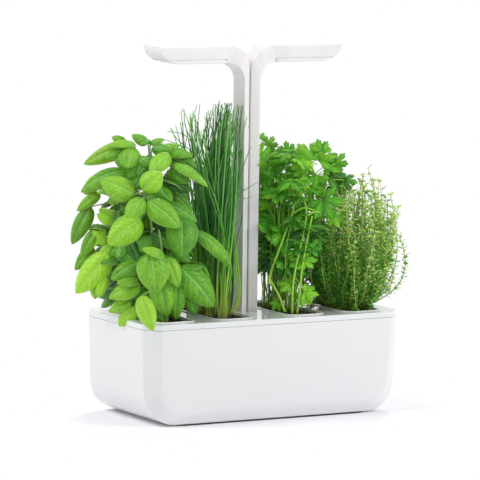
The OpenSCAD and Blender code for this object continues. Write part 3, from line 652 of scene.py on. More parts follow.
class GARDEN_OT_pods(bpy.types.Operator):
    """Builds the four plant pods with their thin rounded rims"""
    bl_idname = "garden.pods"
    bl_label = "Pods"

    wall: size("Wall", "Thickness of a pod's wall", 0.0014)
    corner: size("Corner", "Radius of the open top's corners", 0.012)
    rounding: size("Rounding", "Rounding of the rim", 0.0006)

    def execute(self, context):
        gloss = moulded("pod gloss", (0.90, 0.905, 0.91), 0.14, coat=0.5, relief=0.000003,
                        shift=0.01)
        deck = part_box("deck")[1].z
        slack = 0.0003  # between the soil and the pod's wall
        for herb in HERBS:
            low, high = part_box(herb + "_pod")
            body_low, body_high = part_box(herb + "_soil")
            centre = (low + high) / 2
            half = (body_high - body_low) / 2
            grid = pod_grid(half.x + slack, half.y + slack, self.corner, self.wall,
                            (high.x - low.x) / 2 - half.x - slack, self.rounding,
                            low.z, deck, high.z)
            grid = grid + [centre.x, centre.y, 0]
            pod = Sheets().add(grid, wrap_cols=True, cap=True).piece(herb + "_pot", gloss)
            place(pod, herb + "_unit", "pod_white", herb + "_pod")
        return {"FINISHED"}


def clods(rng, centre, spread, top, count):
    """Crumbs of soil: squashed octahedra of 1 to 4 mm, turned at random, strewn on the surface."""
    ball = np.array([[0, 0, -1], [1, 0, 0], [0, 1, 0], [-1, 0, 0], [0, -1, 0], [0, 0, 1]], float)
    grid = np.array([[0, 0, 0, 0], [1, 2, 3, 4], [5, 5, 5, 5]])
    radius = rng.uniform(0.0005, 0.0017, (count, 1, 1))
    shape = ball[None] * rng.uniform(0.6, 1.2, (count, 6, 1)) * radius
    turn = np.linalg.qr(rng.normal(size=(count, 3, 3)))[0]
    turn = turn * np.sign(np.linalg.det(turn))[:, None, None]
    place_at = np.concatenate([rng.uniform(-1, 1, (count, 2)) * spread + centre,
                               rng.uniform(-0.0003, 0.0011, (count, 1)) + top], axis=1)
    corners = np.einsum("kij,kpj->kpi", turn, shape) + place_at[:, None]
    return corners[:, grid]


class GARDEN_OT_soil(bpy.types.Operator):
    """Fills the pods with crumbly soil"""
    bl_idname = "garden.soil"
    bl_label = "Soil"

    roughness: size("Roughness", "Height of the soil's lumps", 0.0011)
    crumbs: IntProperty(name="Crumbs", description="Loose crumbs on each pod", default=420, min=1)

    def execute(self, context):
        dirt = earth("potting soil")
        corner = 0.0117  # radius of the soil's upright corners
        for number, herb in enumerate(HERBS):
            rng = np.random.default_rng(SEEDS["soil"] + number)
            low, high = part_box(herb + "_soil")
            centre, half = (low + high) / 2, (high - low) / 2
            ring = rounded_box(half.x, half.y, corner, 10)
            reach = np.linspace(0, 1, 26)[:, None, None]
            flat = ring[None] * reach
            x, y = flat[..., 0], flat[..., 1]
            # The lumps are the sum of 14 crossed sine waves, 5 to 42 mm long.
            wave = sum(np.sin(x * a + p) * np.sin(y * b + q) for a, b, p, q in
                       rng.uniform([150, 150, 0, 0], [1300, 1300, 6, 6], (14, 4))) / 3
            z = high.z - 0.0008 + self.roughness * wave * (1 - 0.5 * reach[..., 0] ** 6)
            top = np.concatenate([flat, z[..., None]], -1)[::-1]
            skirt = np.array([np.insert(ring * k, 2, low.z, axis=1) for k in (0.0, 1.0)])
            grid = np.concatenate([skirt, top], axis=0) + [centre.x, centre.y, 0]
            margin = 0.003  # kept free of crumbs along the pod's wall
            loose = clods(rng, (centre.x, centre.y), (half.x - margin, half.y - margin),
                          high.z - 0.0006, self.crumbs)
            sheets = Sheets().add(grid, wrap_cols=True).add(loose, wrap_cols=True)
            bed = sheets.piece(herb + "_earth", dirt, smooth=False)
            place(bed, herb + "_unit", "soil", herb + "_soil")
        return {"FINISHED"}


# ---- Lamp ----

LID_GAP = 0.0001  # between a head and its cover


def half_depth(x, l, gap, tip_x):
    """Half depth of the lamp at distance x from its middle: even in the stem, flaring in an
    S-curve to the widest place of the head, then narrowing evenly to the tip."""
    out = gap + l.stem
    stem = l.stem_half_in + (l.stem_half - l.stem_half_in) * (x - gap) / l.stem
    flare = l.stem_half + (l.head_half - l.stem_half) * ease((x - out) / (l.flare - out))
    tip = l.head_half + (l.tip_half - l.head_half) * (x - l.flare) / (tip_x - l.flare)
    return np.where(x <= out, stem, np.where(x <= l.flare, flare, tip))


def section_loops(inner, outer, l, gap, tip_x, y0, radius):
    """Closed sections (n, 20, 3) between an inner and an outer path in X and Z: a quad as deep
    as the lamp there, its four corners rounded. Over the bend the sections move back."""
    def corner(p, side):
        x = p[:, 0]
        centre = y0 + l.back * ease((x - gap - l.stem) / l.bend_radius)
        return np.stack([x, centre + side * half_depth(x, l, gap, tip_x), p[:, 1]], 1)
    ring = [corner(inner, -1), corner(outer, -1), corner(outer, 1), corner(inner, 1)]
    return np.concatenate([fillet(ring[k - 1], ring[k], ring[(k + 1) % 4], radius, 5)
                           for k in range(4)], axis=1)


def tip_curve(l, tip_x, top, count, start=0.0):
    """The quarter ellipse below a head's tip, from its start share of the turn to the tip."""
    t = np.linspace(np.pi / 2 * (1 - start), 0, count)
    return np.stack([tip_x - l.tip_length + l.tip_length * np.cos(t),
                     top - l.tip_edge - (l.head - l.tip_edge) * np.sin(t)], 1)


class GARDEN_OT_lamp(bpy.types.Operator):
    """Builds the two arms of the lamp and the covers below their heads"""
    bl_idname = "garden.lamp"
    bl_label = "Lamp"

    def execute(self, context):
        l = context.scene.garden_lamp
        low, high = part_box("right_arm")
        shoe_low, shoe_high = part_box("mast_shoe")
        gap, tip_x, top, y0 = low.x, high.x, high.z, (shoe_low.y + shoe_high.y) / 2
        under = top - l.head
        seam = under + l.cover
        out = gap + l.stem
        satin = moulded("lamp satin", l.colour, 0.36, coat=0.15, grain=700.0, relief=0.000006,
                        shift=0.015)
        fall = l.head - l.tip_edge
        seam_turn = 1 - np.arcsin((fall - l.cover) / fall) / (np.pi / 2)
        tip = tip_curve(l, tip_x, top, 18, seam_turn)
        stem_steps, steps = 24, 22  # points along the stem, and along the bend and the head each
        head_start, shoulder = out + l.bend_radius, gap + l.shoulder_radius
        outer = np.concatenate([line((out, low.z), (out, under - l.bend_radius), stem_steps)[:-1],
                                arc((head_start, under - l.bend_radius), l.bend_radius,
                                    180, 90, steps),
                                line((head_start, seam), tip[0], steps), tip[1:]])
        head_x = np.append(np.linspace(shoulder, tip[0, 0], steps), tip[1:, 0])
        inner = np.concatenate([line((gap, low.z), (gap, top - l.shoulder_radius), stem_steps)[:-1],
                                arc((shoulder, top - l.shoulder_radius), l.shoulder_radius,
                                    180, 90, steps),
                                np.stack([head_x, np.full_like(head_x, top)], 1)])
        arm = section_loops(inner, outer, l, gap, tip_x, y0, l.edge_round)
        lid_top = seam - LID_GAP
        rim = np.concatenate([line((head_start, under), (tip_x - l.tip_length, under), 14)[:-1],
                              tip_curve(l, tip_x, top, 40)])
        lower = np.append(rim[rim[:, 1] < lid_top], [[tip[0, 0], lid_top]], axis=0)
        for side, name in ((1, "right"), (-1, "left")):
            flip = np.array([side, 1, 1])
            branch = Sheets().add(arm * flip, wrap_cols=True, cap=True)
            place(branch.piece(name + "_branch", satin), "lamp", "white_satin", name + "_arm")
            ring = cover_grid(lower, l, gap, tip_x, y0 + l.back, lid_top) * flip
            lid = Sheets().add(ring, wrap_rows=True, wrap_cols=True)
            place(lid.piece(name + "_lid", satin), "lamp", "white_satin", name + "_cover")
        return {"FINISHED"}


def cover_grid(lower, l, gap, tip_x, y0, level):
    """The cover as a ring below level: its outer edge follows the head's plan and rises with the
    tip, its inner edge is the diffuser's window. A closed profile runs down the outside and up
    the inside."""
    window_low, window_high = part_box("right_diffuser")
    lip = 0.003  # how far the cover reaches under the diffuser
    x0, x1 = window_low.x + lip, window_high.x - lip
    half = (window_high.y - window_low.y) / 2 - lip
    h = half_depth(lower[:, 0], l, gap, tip_x)
    front = np.stack([lower[:, 0], y0 - h, lower[:, 1]], 1)
    share = np.linspace(0, 1, len(front))[:, None]
    window = np.array([x0, y0 - half, front[0, 2]]) + share * [x1 - x0, 0, 0]

    def behind(p):
        return p * MIRROR_Y + [0, 2 * y0, 0]

    def closed(edge):
        """The ring of an edge: along it, across its end, back behind the middle and across."""
        return np.concatenate([edge, line(edge[-1], behind(edge[-1]), 9)[1:-1], behind(edge[::-1]),
                               line(behind(edge[0]), edge[0], 9)[1:-1]])

    out, inn = closed(front), closed(window)
    r, least = 0.0003, 0.0002  # rounding of the edges, and the least height of the cover
    toward = unit((inn - out) * [1, 1, 0])
    floor = np.minimum(out[:, 2], level - least)[:, None]

    def ring(base, inward, z):
        """The edge base moved inward, at the heights z."""
        p = base + toward * inward
        return np.concatenate([p[:, :2], np.broadcast_to(z, (len(p), 1))], axis=1)

    loop = [ring(out, r, level), ring(out, 0.3 * r, level - 0.3 * np.minimum(r, level - floor)),
            ring(out, 0, np.maximum(level - r, floor)), ring(out, 0, np.minimum(floor + r, level)),
            ring(out, 0.3 * r, floor + 0.3 * r), ring(out, 1.2 * r, floor),
            ring(inn, -r, floor.min()), ring(inn, 0, floor.min() + r), ring(inn, 0, level)]
    return np.array(loop)


# ---- Plants ----


def eye_frame():
    """The camera's place and its axes to the right, up and back. It stands 4.8 m away, turned
    29 degrees to the left of the front and 6.5 degrees up, with a roll of 0.8 degrees."""
    azimuth, height, roll = np.radians(EYE_ANGLES)
    back = np.array([np.sin(azimuth) * np.cos(height), -np.cos(azimuth) * np.cos(height),
                     np.sin(height)])
    right = unit(np.cross(-back, UP))
    up = np.cross(back, right)
    right, up = right * np.cos(roll) + up * np.sin(roll), up * np.cos(roll) - right * np.sin(roll)
    eye = np.array(EYE_TARGET) + EYE_RIGHT * right + EYE_UP * up + EYE_DISTANCE * back
    return eye, right, up, back


def in_view(u, v, depth, about):
    """Points at u to the right and v down in the view, depth metres nearer to the eye than the
    point about."""
    eye, right, up, back = eye_frame()
    u, v, depth = np.asarray(u, float), np.asarray(v, float), np.asarray(depth, float)
    ray = (-back + right * ((u - VIEW_MIDDLE) / VIEW_FOCAL)[..., None]
           - up * ((v - VIEW_MIDDLE) / VIEW_FOCAL)[..., None])
    reach = np.dot(np.asarray(about) - eye, -back) - depth
    return eye + ray * reach[..., None]


def seen(points, about):
    """u, v and depth of points in the view: in_view the other way round."""
    eye, right, up, back = eye_frame()
    gap = points - eye
    reach = -(gap @ back)
    return (VIEW_MIDDLE + VIEW_FOCAL * (gap @ right) / reach,
            VIEW_MIDDLE - VIEW_FOCAL * (gap @ up) / reach,
            np.dot(np.asarray(about) - eye, -back) - reach)


def towards_sky(tilt):
    """Directions turned by tilt degrees from the eye towards the sky."""
    tilt = np.radians(tilt)[:, None]
    return eye_frame()[3] * np.cos(tilt) + UP * np.sin(tilt)


def root_of(low, high):
    """The middle of a pod's soil, a little below its top, from the soil's two corners."""
    return np.array([(low.x + high.x) / 2, (low.y + high.y) / 2, high.z - ROOT_DEPTH])


def even_spots(count):
    """Spots (count, 2) spread evenly over a disc of radius 1, with their angles and reaches: spot
    k stands k golden angles round and sqrt((k + 1/2) / count) from the middle."""
    angle, reach = np.arange(count) * GOLDEN_ANGLE, np.sqrt((np.arange(count) + 0.5) / count)
    return np.stack([np.cos(angle), np.sin(angle)], 1) * reach[:, None], angle, reach


def leaves(base, tip, face, width, arch, cup, rows, cols, tone, quilt, twist, crease):
    """Leaf blades between base and tip points, turned towards face: grids (k, rows, cols, 3) and
    their values (tone, t, s). With t along, s across from -1 to 1 and w half the width at t, a
    point lies w s cos(a) to the side, with a the twist times t - 0.3, and rises by
    length arch 4t(1-t) - cup w s^2 + crease w sin(pi |s|) + w s sin(a)
    + width quilt |sin(pi (7t - 2.2 |s|))| (1 - s^2) min(1, 4t(1-t))."""
    t = np.linspace(0, 1, rows)[:, None]
    s = np.linspace(-1, 1, cols)[None, :]
    along = tip - base
    length = np.linalg.norm(along, axis=-1)[:, None, None]
    l = unit(along)
    n = unit(face - l * np.sum(face * l, -1, keepdims=True))
    side = np.cross(l, n)
    wide, arch, cup = (np.broadcast_to(a, len(base))[:, None, None] for a in (width, arch, cup))
    w = wide * ovate(t) / 2
    turn = np.radians(np.broadcast_to(twist, len(base)))[:, None, None] * (t - 0.3)
    bulge = (quilt * np.abs(np.sin(np.pi * (7 * t - 2.2 * np.abs(s)))) * (1 - s ** 2)
             * np.minimum(1, 4 * t * (1 - t)))
    crease = np.broadcast_to(crease, len(base))[:, None, None]
    lift = (length * arch * 4 * t * (1 - t) - cup * w * s ** 2
            + crease * w * np.sin(np.pi * np.abs(s)) + w * s * np.sin(turn) + wide * bulge)
    across, reach = w * s * np.cos(turn), length * (t + 0 * s)
    grid = (base[:, None, None] + l[:, None, None] * reach[..., None]
            + side[:, None, None] * across[..., None] + n[:, None, None] * lift[..., None])
    tone = np.broadcast_to(tone, len(base))[:, None, None] + 0 * reach
    return grid, np.stack([tone, t + 0 * reach, s + 0 * reach], -1)


def ovate(t):
    """Width of an ovate leaf with a pointed tip: 0.05 + 2.48 t^0.55 (1.001 - t)^0.8."""
    return 0.05 + 0.97 * 2.56 * t ** 0.55 * (1.001 - t) ** 0.80


def fans(foot, heading, face, spread, tone, rays, rings, rng):
    """Divided leaves spread like fans round their foot: grids (k, rays, rings, 3) and values.
    Five lobes lie 50 degrees apart. At the angle a the edge is spread (0.34 + 0.66 c) away with
    c = (1 - x^2.6)^0.7, x running from 0 on a lobe's middle to 1 between two. It is cut into
    round teeth and shortened to the sides, and each lobe is pleated and droops."""
    fan, half_lobe = 118, 25  # degrees from the middle to either side, and half a lobe's share
    a = np.linspace(-fan, fan, rays)
    across = ((a + half_lobe) % (2 * half_lobe) - half_lobe) / half_lobe
    crest = (1 - np.abs(across) ** 2.6) ** 0.7
    teeth = 0.80 + 0.20 * np.abs(np.cos(across * 4.7)) ** 0.6
    edge = (0.34 + 0.66 * crest) * teeth * (1 - 0.36 * (np.abs(a) / fan) ** 1.6)
    share = np.linspace(0.04, 1, rings)
    k = len(foot)
    l = unit(heading)
    n = unit(face - l * np.sum(face * l, -1, keepdims=True))
    side = np.cross(l, n)
    reach = edge[:, None] * share
    turn = np.radians(a)[:, None]
    wave = rng.uniform(0, FULL_TURN, (k, 1, 1))
    bend = rng.uniform(0.1, 0.5, (k, 1, 1))
    lift = (0.16 * reach * (crest[:, None] - 0.5) - bend * reach ** 2
            + 0.16 * reach * np.sin(turn * 2.3 + wave))
    grid = foot[:, None, None] + np.asarray(spread)[:, None, None, None] * (
        l[:, None, None] * (reach * np.cos(turn))[None, ..., None]
        + side[:, None, None] * (reach * np.sin(turn))[None, ..., None]
        + n[:, None, None] * lift[..., None])
    flat = 0 * lift
    tone = np.broadcast_to(tone, k)[:, None, None] + 0.07 * np.sin(turn * 3.1 + wave) + flat
    return grid, np.stack([tone, reach + flat, across[:, None] + 0 * reach + flat], -1)


def bowed(start, end, bow, count, sag=0.0):
    """Paths (k, count, 3) from start to end that leave along the vector bow: the curve
    a (1-t)^2 + 2 (a + bow) t (1-t) + b t^2, let down by sag t^3."""
    t = np.linspace(0, 1, count)[None, :, None]
    path = (start[:, None] * (1 - t) ** 2 + 2 * (start + bow)[:, None] * t * (1 - t)
            + end[:, None] * t ** 2)
    return path - UP * np.asarray(sag).reshape(-1, 1, 1) * t ** 3


def from_nearest(spots, feet, below, rise):
    """Paths to the feet, each from the spot nearest to the place that lies below it."""
    gaps = feet[:, None] - spots - [0, 0, below]
    start = spots[np.argmin(np.linalg.norm(gaps, axis=-1), axis=1)]
    return bowed(start, feet, (feet - start) * 0.4 + [0, 0, rise], 12)


def stalks(sheets, paths, thick, thin, sides, tone):
    """Adds closed tubes round the paths, their width falling evenly from thick to thin."""
    k, n = paths.shape[:2]
    t = np.linspace(0, 1, n)
    thick, thin, tone = (np.broadcast_to(a, k)[:, None] for a in (thick, thin, tone))
    radii = (thick * (1 - t) + thin * t) / 2
    values = np.stack([tone + 0 * t, t + 0 * radii, 0 * radii], -1)
    sheets.add(tubes(paths, radii, sides), wrap_cols=True, cap=True,
               values=np.repeat(values[:, :, None], sides, axis=2))


def foliage(name, deep_and_shaded, middle, bright_and_lit, rib, ribs, gloss, shine, glow):
    """Leaf skin: its green follows each leaf's tone, whose darkest end also paints shade and whose
    palest end also paints light, with a paler midrib, a rim painted paler as a highlight, darker
    sunken side veins, small blotches, a foot painted darker as shade, and a faint painted glow
    for the light that comes through."""
    f = Finish(name)
    side = f.grain(2).absolute()
    along = f.grain(1)
    cloud = f.noise(160.0, 4.0)
    broad = f.noise(45.0, 2.0)
    middle_rib = 1.0 - side.over(0.015, 0.06)
    vein = ((along * ribs - side * 2.2 + cloud * 1.6) * HALF_TURN).sin().absolute()
    thin_vein = (1.0 - vein.over(0.0, 0.35)) * side.over(0.0, 0.2)
    rim = side.over(0.86, 1.0)
    # The tone is lowered towards each leaf's foot: a painted shade, for the foot lies further
    # inside the plant.
    tone = (f.grain(0) + cloud * 0.36 + broad * 0.40 - 0.42 + along.over(0.0, 0.5) * 0.12
            - thin_vein * 0.07)
    green = f.ramp(tone, (0.0, deep_and_shaded), (0.45, middle), (1.0, bright_and_lit))
    # The rim is mixed towards the midrib's pale colour: a painted highlight along each leaf's edge.
    skin = f.mix(middle_rib * 0.42 + rim * 0.34, green, rib)
    # The glow is painted light, standing in for the light that comes through the leaf.
    f.glow(glow)
    relief = thin_vein * -0.5 + cloud * 0.6
    return f.done(Base_Color=skin, Emission_Color=skin, Roughness=gloss + cloud * 0.12,
                  Specular_IOR_Level=shine, Subsurface_Weight=0.2, Subsurface_Scale=0.003,
                  Normal=f.bump(relief, 0.001))


def stalk_skin(name, low, high):
    """Skin of stems: one colour below, another above, with fine lengthwise streaks; stems of low
    tone are mixed towards near black as a painted shade.
    """
    f = Finish(name)
    streak = f.noise(900.0, 3.0, 0.6, f.stretched(1.0, 1.0, 0.12))
    skin = f.mix(f.grain(1) * 0.8 + streak * 0.4, low, high)
    # Painted shade: the stem's tone mixes its skin towards near black.
    return f.done(Base_Color=f.mix(f.grain(0), (0.03, 0.05, 0.01), skin),
                  Roughness=0.4 + streak * 0.2, Normal=f.bump(streak, 0.0001))


def plant_pieces(herb, leaf_sheets, stem_sheets, leaf_skin, stem_finish, thick):
    """Makes a plant's two pieces: leaf blades with a thickness, and closed stems."""
    stems = stem_sheets.piece(herb + "_stems", stem_finish, weld=0)
    blades = leaf_sheets.piece(herb + "_leaves", leaf_skin, weld=0, outward=False)
    modifier(blades, "SOLIDIFY", thickness=thick, offset=0.0)
    place(stems, herb + "_unit", herb + "_leaf")
    place(blades, herb + "_unit", herb + "_leaf", herb + "_plant")


# Leaves of the basil that face the camera: base u, v and tip u, v in the view, width in mm, turn
# from the camera towards the sky in degrees, arch in hundredths of the length, tone in tenths and
# lift towards the camera in mm.
# The tone column paints each leaf's light and shade along with its own green: low for leaves seen
# in shade, high for lit ones.
BASIL_LEAVES = (
    (133, 144, 84, 164, 22, 20, 10, 6, -10), (135, 144, 106, 146, 13, 58, 10, 7, 2),
    (148, 143, 132, 135, 14, 30, 8, 5, -6), (150, 140, 141, 144, 9, 40, 8, 4, -4),
    (133, 147, 127, 168, 26, 5, 5, 6, -2), (169, 153, 150, 173, 21, 20, 8, 7, 8),
    (163, 151, 193, 156, 15, 40, 10, 5, -2), (160, 147, 180, 146, 9, 55, 8, 6, -6),
    (166, 158, 191, 165, 18, 30, 4, 2, -10), (173, 164, 208, 187, 15, 48, 14, 6, 6),
    (142, 190, 162, 173, 26, 0, 5, 8, 18), (134, 195, 101, 180, 28, 14, 8, 7, 12),
    (126, 171, 81, 192, 24, 35, 16, 5, -6), (101, 176, 84, 194, 17, 10, 5, 8, -14),
    (118, 188, 97, 193, 10, 40, 10, 6, 4), (100, 193, 77, 211, 14, 25, 12, 6, -6),
    (91, 207, 72, 244, 20, 15, 12, 4, -6), (143, 198, 127, 220, 22, 10, 8, 7, 18),
    (148, 201, 180, 227, 28, 18, 8, 6, 16), (165, 203, 197, 222, 22, 35, 8, 4, 2),
    (160, 180, 191, 190, 24, 30, 5, 1, -12), (165, 174, 187, 202, 22, 20, 5, 2, -14),
    (141, 219, 108, 244, 32, 5, 10, 8, 20), (182, 216, 182, 257, 36, 12, 8, 4, 8),
    (194, 231, 231, 267, 18, 34, 16, 5, 4), (151, 252, 156, 293, 37, 8, 8, 6, 24),
    (165, 257, 142, 249, 15, 52, 12, 7, 24), (168, 257, 178, 287, 19, 15, 8, 7, 12),
    (180, 267, 214, 307, 34, 15, 12, 5, 8), (182, 270, 203, 266, 12, 55, 10, 4, 4),
    (109, 254, 76, 293, 31, 0, 8, 10, -2), (95, 280, 95, 299, 12, 20, 6, 8, -10),
    (106, 275, 98, 298, 13, 20, 6, 9, -4), (139, 262, 111, 279, 21, 25, 8, 5, 4),
    (140, 284, 109, 298, 22, 25, 8, 7, 6), (138, 279, 117, 283, 15, 45, 8, 6, 8),
    (131, 300, 109, 312, 16, 30, 8, 7, 4), (135, 307, 119, 326, 19, 10, 8, 9, 6),
    (141, 296, 153, 331, 21, 8, 6, 9, 66), (158, 277, 167, 317, 27, 12, 8, 6, 8),
    (177, 276, 176, 320, 21, 15, 8, 5, 2), (157, 306, 166, 326, 16, 10, 5, 4, 0),
    (146, 299, 150, 318, 13, 15, 5, 3, -2), (132, 309, 138, 324, 11, 15, 5, 3, 0),
    (113, 223, 97, 214, 12, 10, 5, 9, -8), (106, 244, 93, 231, 12, 10, 5, 9, -10),
    (98, 228, 81, 257, 16, 30, 10, 5, -8), (93, 246, 75, 270, 16, 35, 8, 5, -12),
    (104, 226, 94, 246, 13, 5, 6, 9, -12), (150, 233, 172, 246, 18, 30, 8, 2, -4),
    (128, 240, 140, 262, 18, 20, 6, 1, -6), (165, 236, 150, 250, 16, 30, 8, 2, -6),
    (140, 170, 114, 159, 20, 35, 10, 4, -12), (151, 174, 134, 188, 20, 20, 6, 3, -8),
    (124, 178, 146, 166, 18, 25, 6, 5, -10), (122, 202, 142, 216, 22, 20, 6, 3, -8),
    (108, 202, 128, 192, 14, 30, 6, 6, -8), (118, 220, 99, 209, 14, 20, 6, 7, -12),
    (156, 186, 172, 202, 18, 20, 6, 4, -4), (146, 156, 158, 168, 16, 30, 6, 3, -10),
    (112, 244, 100, 258, 15, 20, 6, 7, -10), (120, 250, 134, 262, 18, 25, 6, 3, -6),
    (152, 148, 173, 150, 16, 30, 8, 4, -2), (176, 150, 196, 168, 14, 40, 8, 3, -8),
    (128, 150, 104, 158, 15, 30, 8, 5, -8), (150, 158, 138, 176, 16, 20, 6, 3, -6),
    (168, 170, 190, 182, 18, 30, 6, 4, -6), (174, 196, 192, 212, 18, 30, 6, 3, -6),
    (152, 236, 140, 252, 16, 20, 6, 4, -2), (172, 246, 190, 262, 18, 30, 6, 4, -4),
    (196, 262, 210, 284, 14, 30, 6, 4, -8), (186, 292, 196, 314, 18, 20, 6, 4, -4),
    (126, 142, 112, 137, 12, 40, 8, 5, -8), (158, 152, 166, 166, 14, 20, 6, 3, 0),
    (150, 143, 164, 140, 11, 50, 8, 5, -4), (136, 158, 152, 164, 15, 30, 6, 4, -2),
)


# The basil's crown in the view: middle, half width and half height in u and v; depth in metres.
CROWN_U, CROWN_V, CROWN_WIDE, CROWN_TALL = 146, 238, 92, 118
CROWN_DEEP = 0.058


def crown_front(u, v):
    """Depth of the front of the basil's crown at u, v, half an ellipsoid set 4 mm back:
    d sqrt(1 - x^2 - y^2) - 0.004, with x and y in half widths and half heights."""
    inside = 1 - ((u - CROWN_U) / CROWN_WIDE) ** 2 - ((v - CROWN_V) / CROWN_TALL) ** 2
    return CROWN_DEEP * np.sqrt(np.clip(inside, 0.0, 1)) - 0.004


class GARDEN_OT_basil(bpy.types.Operator):
    """Grows the basil: stems with pairs of cupped, quilted leaves"""
    bl_idname = "garden.basil"
    bl_label = "Basil"

    stems: IntProperty(name="Stems", description="Number of stems", default=18, min=1)
    pairs: IntProperty(name="Pairs", description="Pairs of leaves on each stem", default=8, min=1)

    def execute(self, context):
        root = root_of(*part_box("basil_soil"))
        back = eye_frame()[3]
        rng = np.random.default_rng(SEEDS["basil"])
        n, m = self.stems, self.pairs
        foot_area, crown_area, lean = [0.013, 0.046], [0.037, 0.048], [-0.010, 0.0]
        tallest, fall = 0.178, 0.075  # height in the middle, and how much less at the rim
        ring, turn, spread = even_spots(n)
        start = root + on_ground(ring * foot_area)
        height = tallest - fall * spread[:, None] ** 2 + rng.uniform(-0.012, 0.006, (n, 1))
        end = root + np.concatenate([ring * crown_area + lean, height], axis=1)
        steps, lowest = 24, 0.34  # points along a stem, and where its first leaves stand
        stems = bowed(start, end, UP * 0.05, steps)
        t = np.linspace(lowest, 1.0, m)
        at = stems[:, (t * (steps - 1)).astype(int)]
        heading = (turn[:, None] + np.arange(m) * QUARTER_TURN)[..., None] + np.array([0, np.pi])
        heading = heading + rng.uniform(-0.5, 0.5, heading.shape)
        outward = np.stack([np.cos(heading), np.sin(heading),
                            rng.uniform(-0.9, 0.3, heading.shape)], -1)
        outward = unit(outward + on_ground(ring)[:, None, None] * 0.7)
        longest, shorter = 0.038, 0.014  # a low leaf's length, and how much less the top one's is
        length = ((longest - shorter * t ** 3)[None, :, None]
                  * rng.uniform(0.7, 1.15, heading.shape))
        base = (at[:, :, None] + outward * 0.011).reshape(-1, 3)
        length, outward = length.reshape(-1, 1), outward.reshape(-1, 3)
        tip = base + outward * length - 0.3 * UP * length
        face = UP + outward * 0.6 + rng.uniform(-0.35, 0.35, base.shape)
        # Only leaves well behind the crown's front are kept: its front leaves are placed singly.
        u, v, depth = seen((base + tip) / 2, root)
        inner = depth < 0.72 * crown_front(u, v) + 0.003
        base, tip, face, length = base[inner], tip[inner], face[inner], length[inner]
        # The leaves kept here lie inside the crown: their low tones are a painted shade, and the
        # tone rises towards the back.
        rear = np.clip(-((base - root) @ (back * [1, 1, 0])) / 0.05, 0, 1)
        tone = rng.uniform(0.0, 0.45, len(base)) + 0.25 * rear
        sheets = Sheets()
        grid, values = leaves(base, tip, face, width=length[:, 0] * 0.74, arch=0.12, cup=0.4,
                              rows=12, cols=9, tone=tone, quilt=0.07,
                              twist=rng.uniform(-25, 25, len(base)), crease=0.22)
        sheets.add(grid, values=values)
        u0, v0, u1, v1, wide, tilt, arch, tone, lift = np.array(BASIL_LEAVES, float).T
        near_base = in_view(u0, v0, crown_front(u0, v0) - 0.007 + lift / 1000, root)
        near_tip = in_view(u1, v1, crown_front(u1, v1) + 0.003 + lift / 1000, root)
        grid, values = leaves(near_base, near_tip, towards_sky(tilt), width=wide / 1000,
                              arch=arch / 100, cup=0.42, rows=21, cols=15, tone=tone / 10 - 0.03,
                              quilt=0.075, twist=rng.uniform(-14, 14, len(u0)),
                              crease=rng.uniform(0.16, 0.34, len(u0)))
        sheets.add(grid, values=values)
        shoots = Sheets()
        stalks(shoots, stems, thick=0.0042, thin=0.0022, sides=8, tone=0.85)
        foot = np.repeat(at.reshape(-1, 3), 2, axis=0)[inner]
        stalks(shoots, bowed(foot, base, (base - foot) * 0.3 + [0, 0, 0.002], 6),
               thick=0.0016, thin=0.0013, sides=5, tone=0.8)
        spots = stems[:, 6:].reshape(-1, 3)
        stalks(shoots, from_nearest(spots, near_base, below=0.006, rise=0.006),
               thick=0.0020, thin=0.0014, sides=6, tone=0.85)
        skin = foliage("basil leaf", deep_and_shaded=(0.010, 0.065, 0.008), middle=(0.085, 0.33, 0.012),
                       bright_and_lit=(0.36, 0.70, 0.035), rib=(0.60, 0.84, 0.32),
                       ribs=7.0, gloss=0.34, shine=0.45, glow=0.09)
        stem_skin = stalk_skin("basil stem", low=(0.22, 0.34, 0.10), high=(0.30, 0.48, 0.12))
        plant_pieces("basil", sheets, shoots, skin, stem_skin, thick=0.00035)
        return {"FINISHED"}


# Single blades of the chives that face the camera: points u, v in the view, from root to tip,
# and their depth in metres.
STRAND_DEPTH = 0.010
CHIVE_STRANDS = (
    ((233, 316), (240, 289), (234, 228), (237, 197), (241, 156), (246, 137), (232, 128)),
    ((230, 314), (229, 250), (232, 197), (245, 190), (258, 182)),
    ((228, 316), (226, 240), (231, 204), (252, 197)),
    ((231, 315), (238, 292), (233, 232), (238, 180), (240, 160), (243, 134), (236, 122)),
    ((228, 315), (233, 290), (230, 240), (236, 195), (237, 165), (241, 142), (249, 126)),
    ((226, 314), (236, 270), (232, 215), (234, 170), (229, 140), (224, 118)),
    ((205, 312), (206, 240), (203, 180), (196, 140), (182, 108)),
    ((208, 312), (212, 240), (207, 175), (188, 138), (167, 131)),
    ((200, 310), (205, 230), (200, 165), (186, 128), (184, 109)),
    ((212, 313), (208, 240), (199, 170), (197, 135), (200, 104)),
    ((203, 311), (210, 240), (203, 178), (192, 150), (193, 111)),
    ((216, 313), (212, 230), (206, 170), (178, 140), (170, 128)),
    ((210, 312), (214, 240), (211, 185), (215, 140), (204, 116)),
    ((214, 313), (216, 240), (208, 180), (202, 140), (220, 100)),
    ((206, 312), (204, 240), (210, 180), (214, 145), (208, 110)),
    ((199, 310), (196, 240), (198, 180), (186, 150), (161, 138)),
    ((218, 314), (214, 240), (203, 185), (190, 135), (197, 105)),
    ((209, 312), (207, 240), (212, 190), (206, 150), (214, 104)),
)


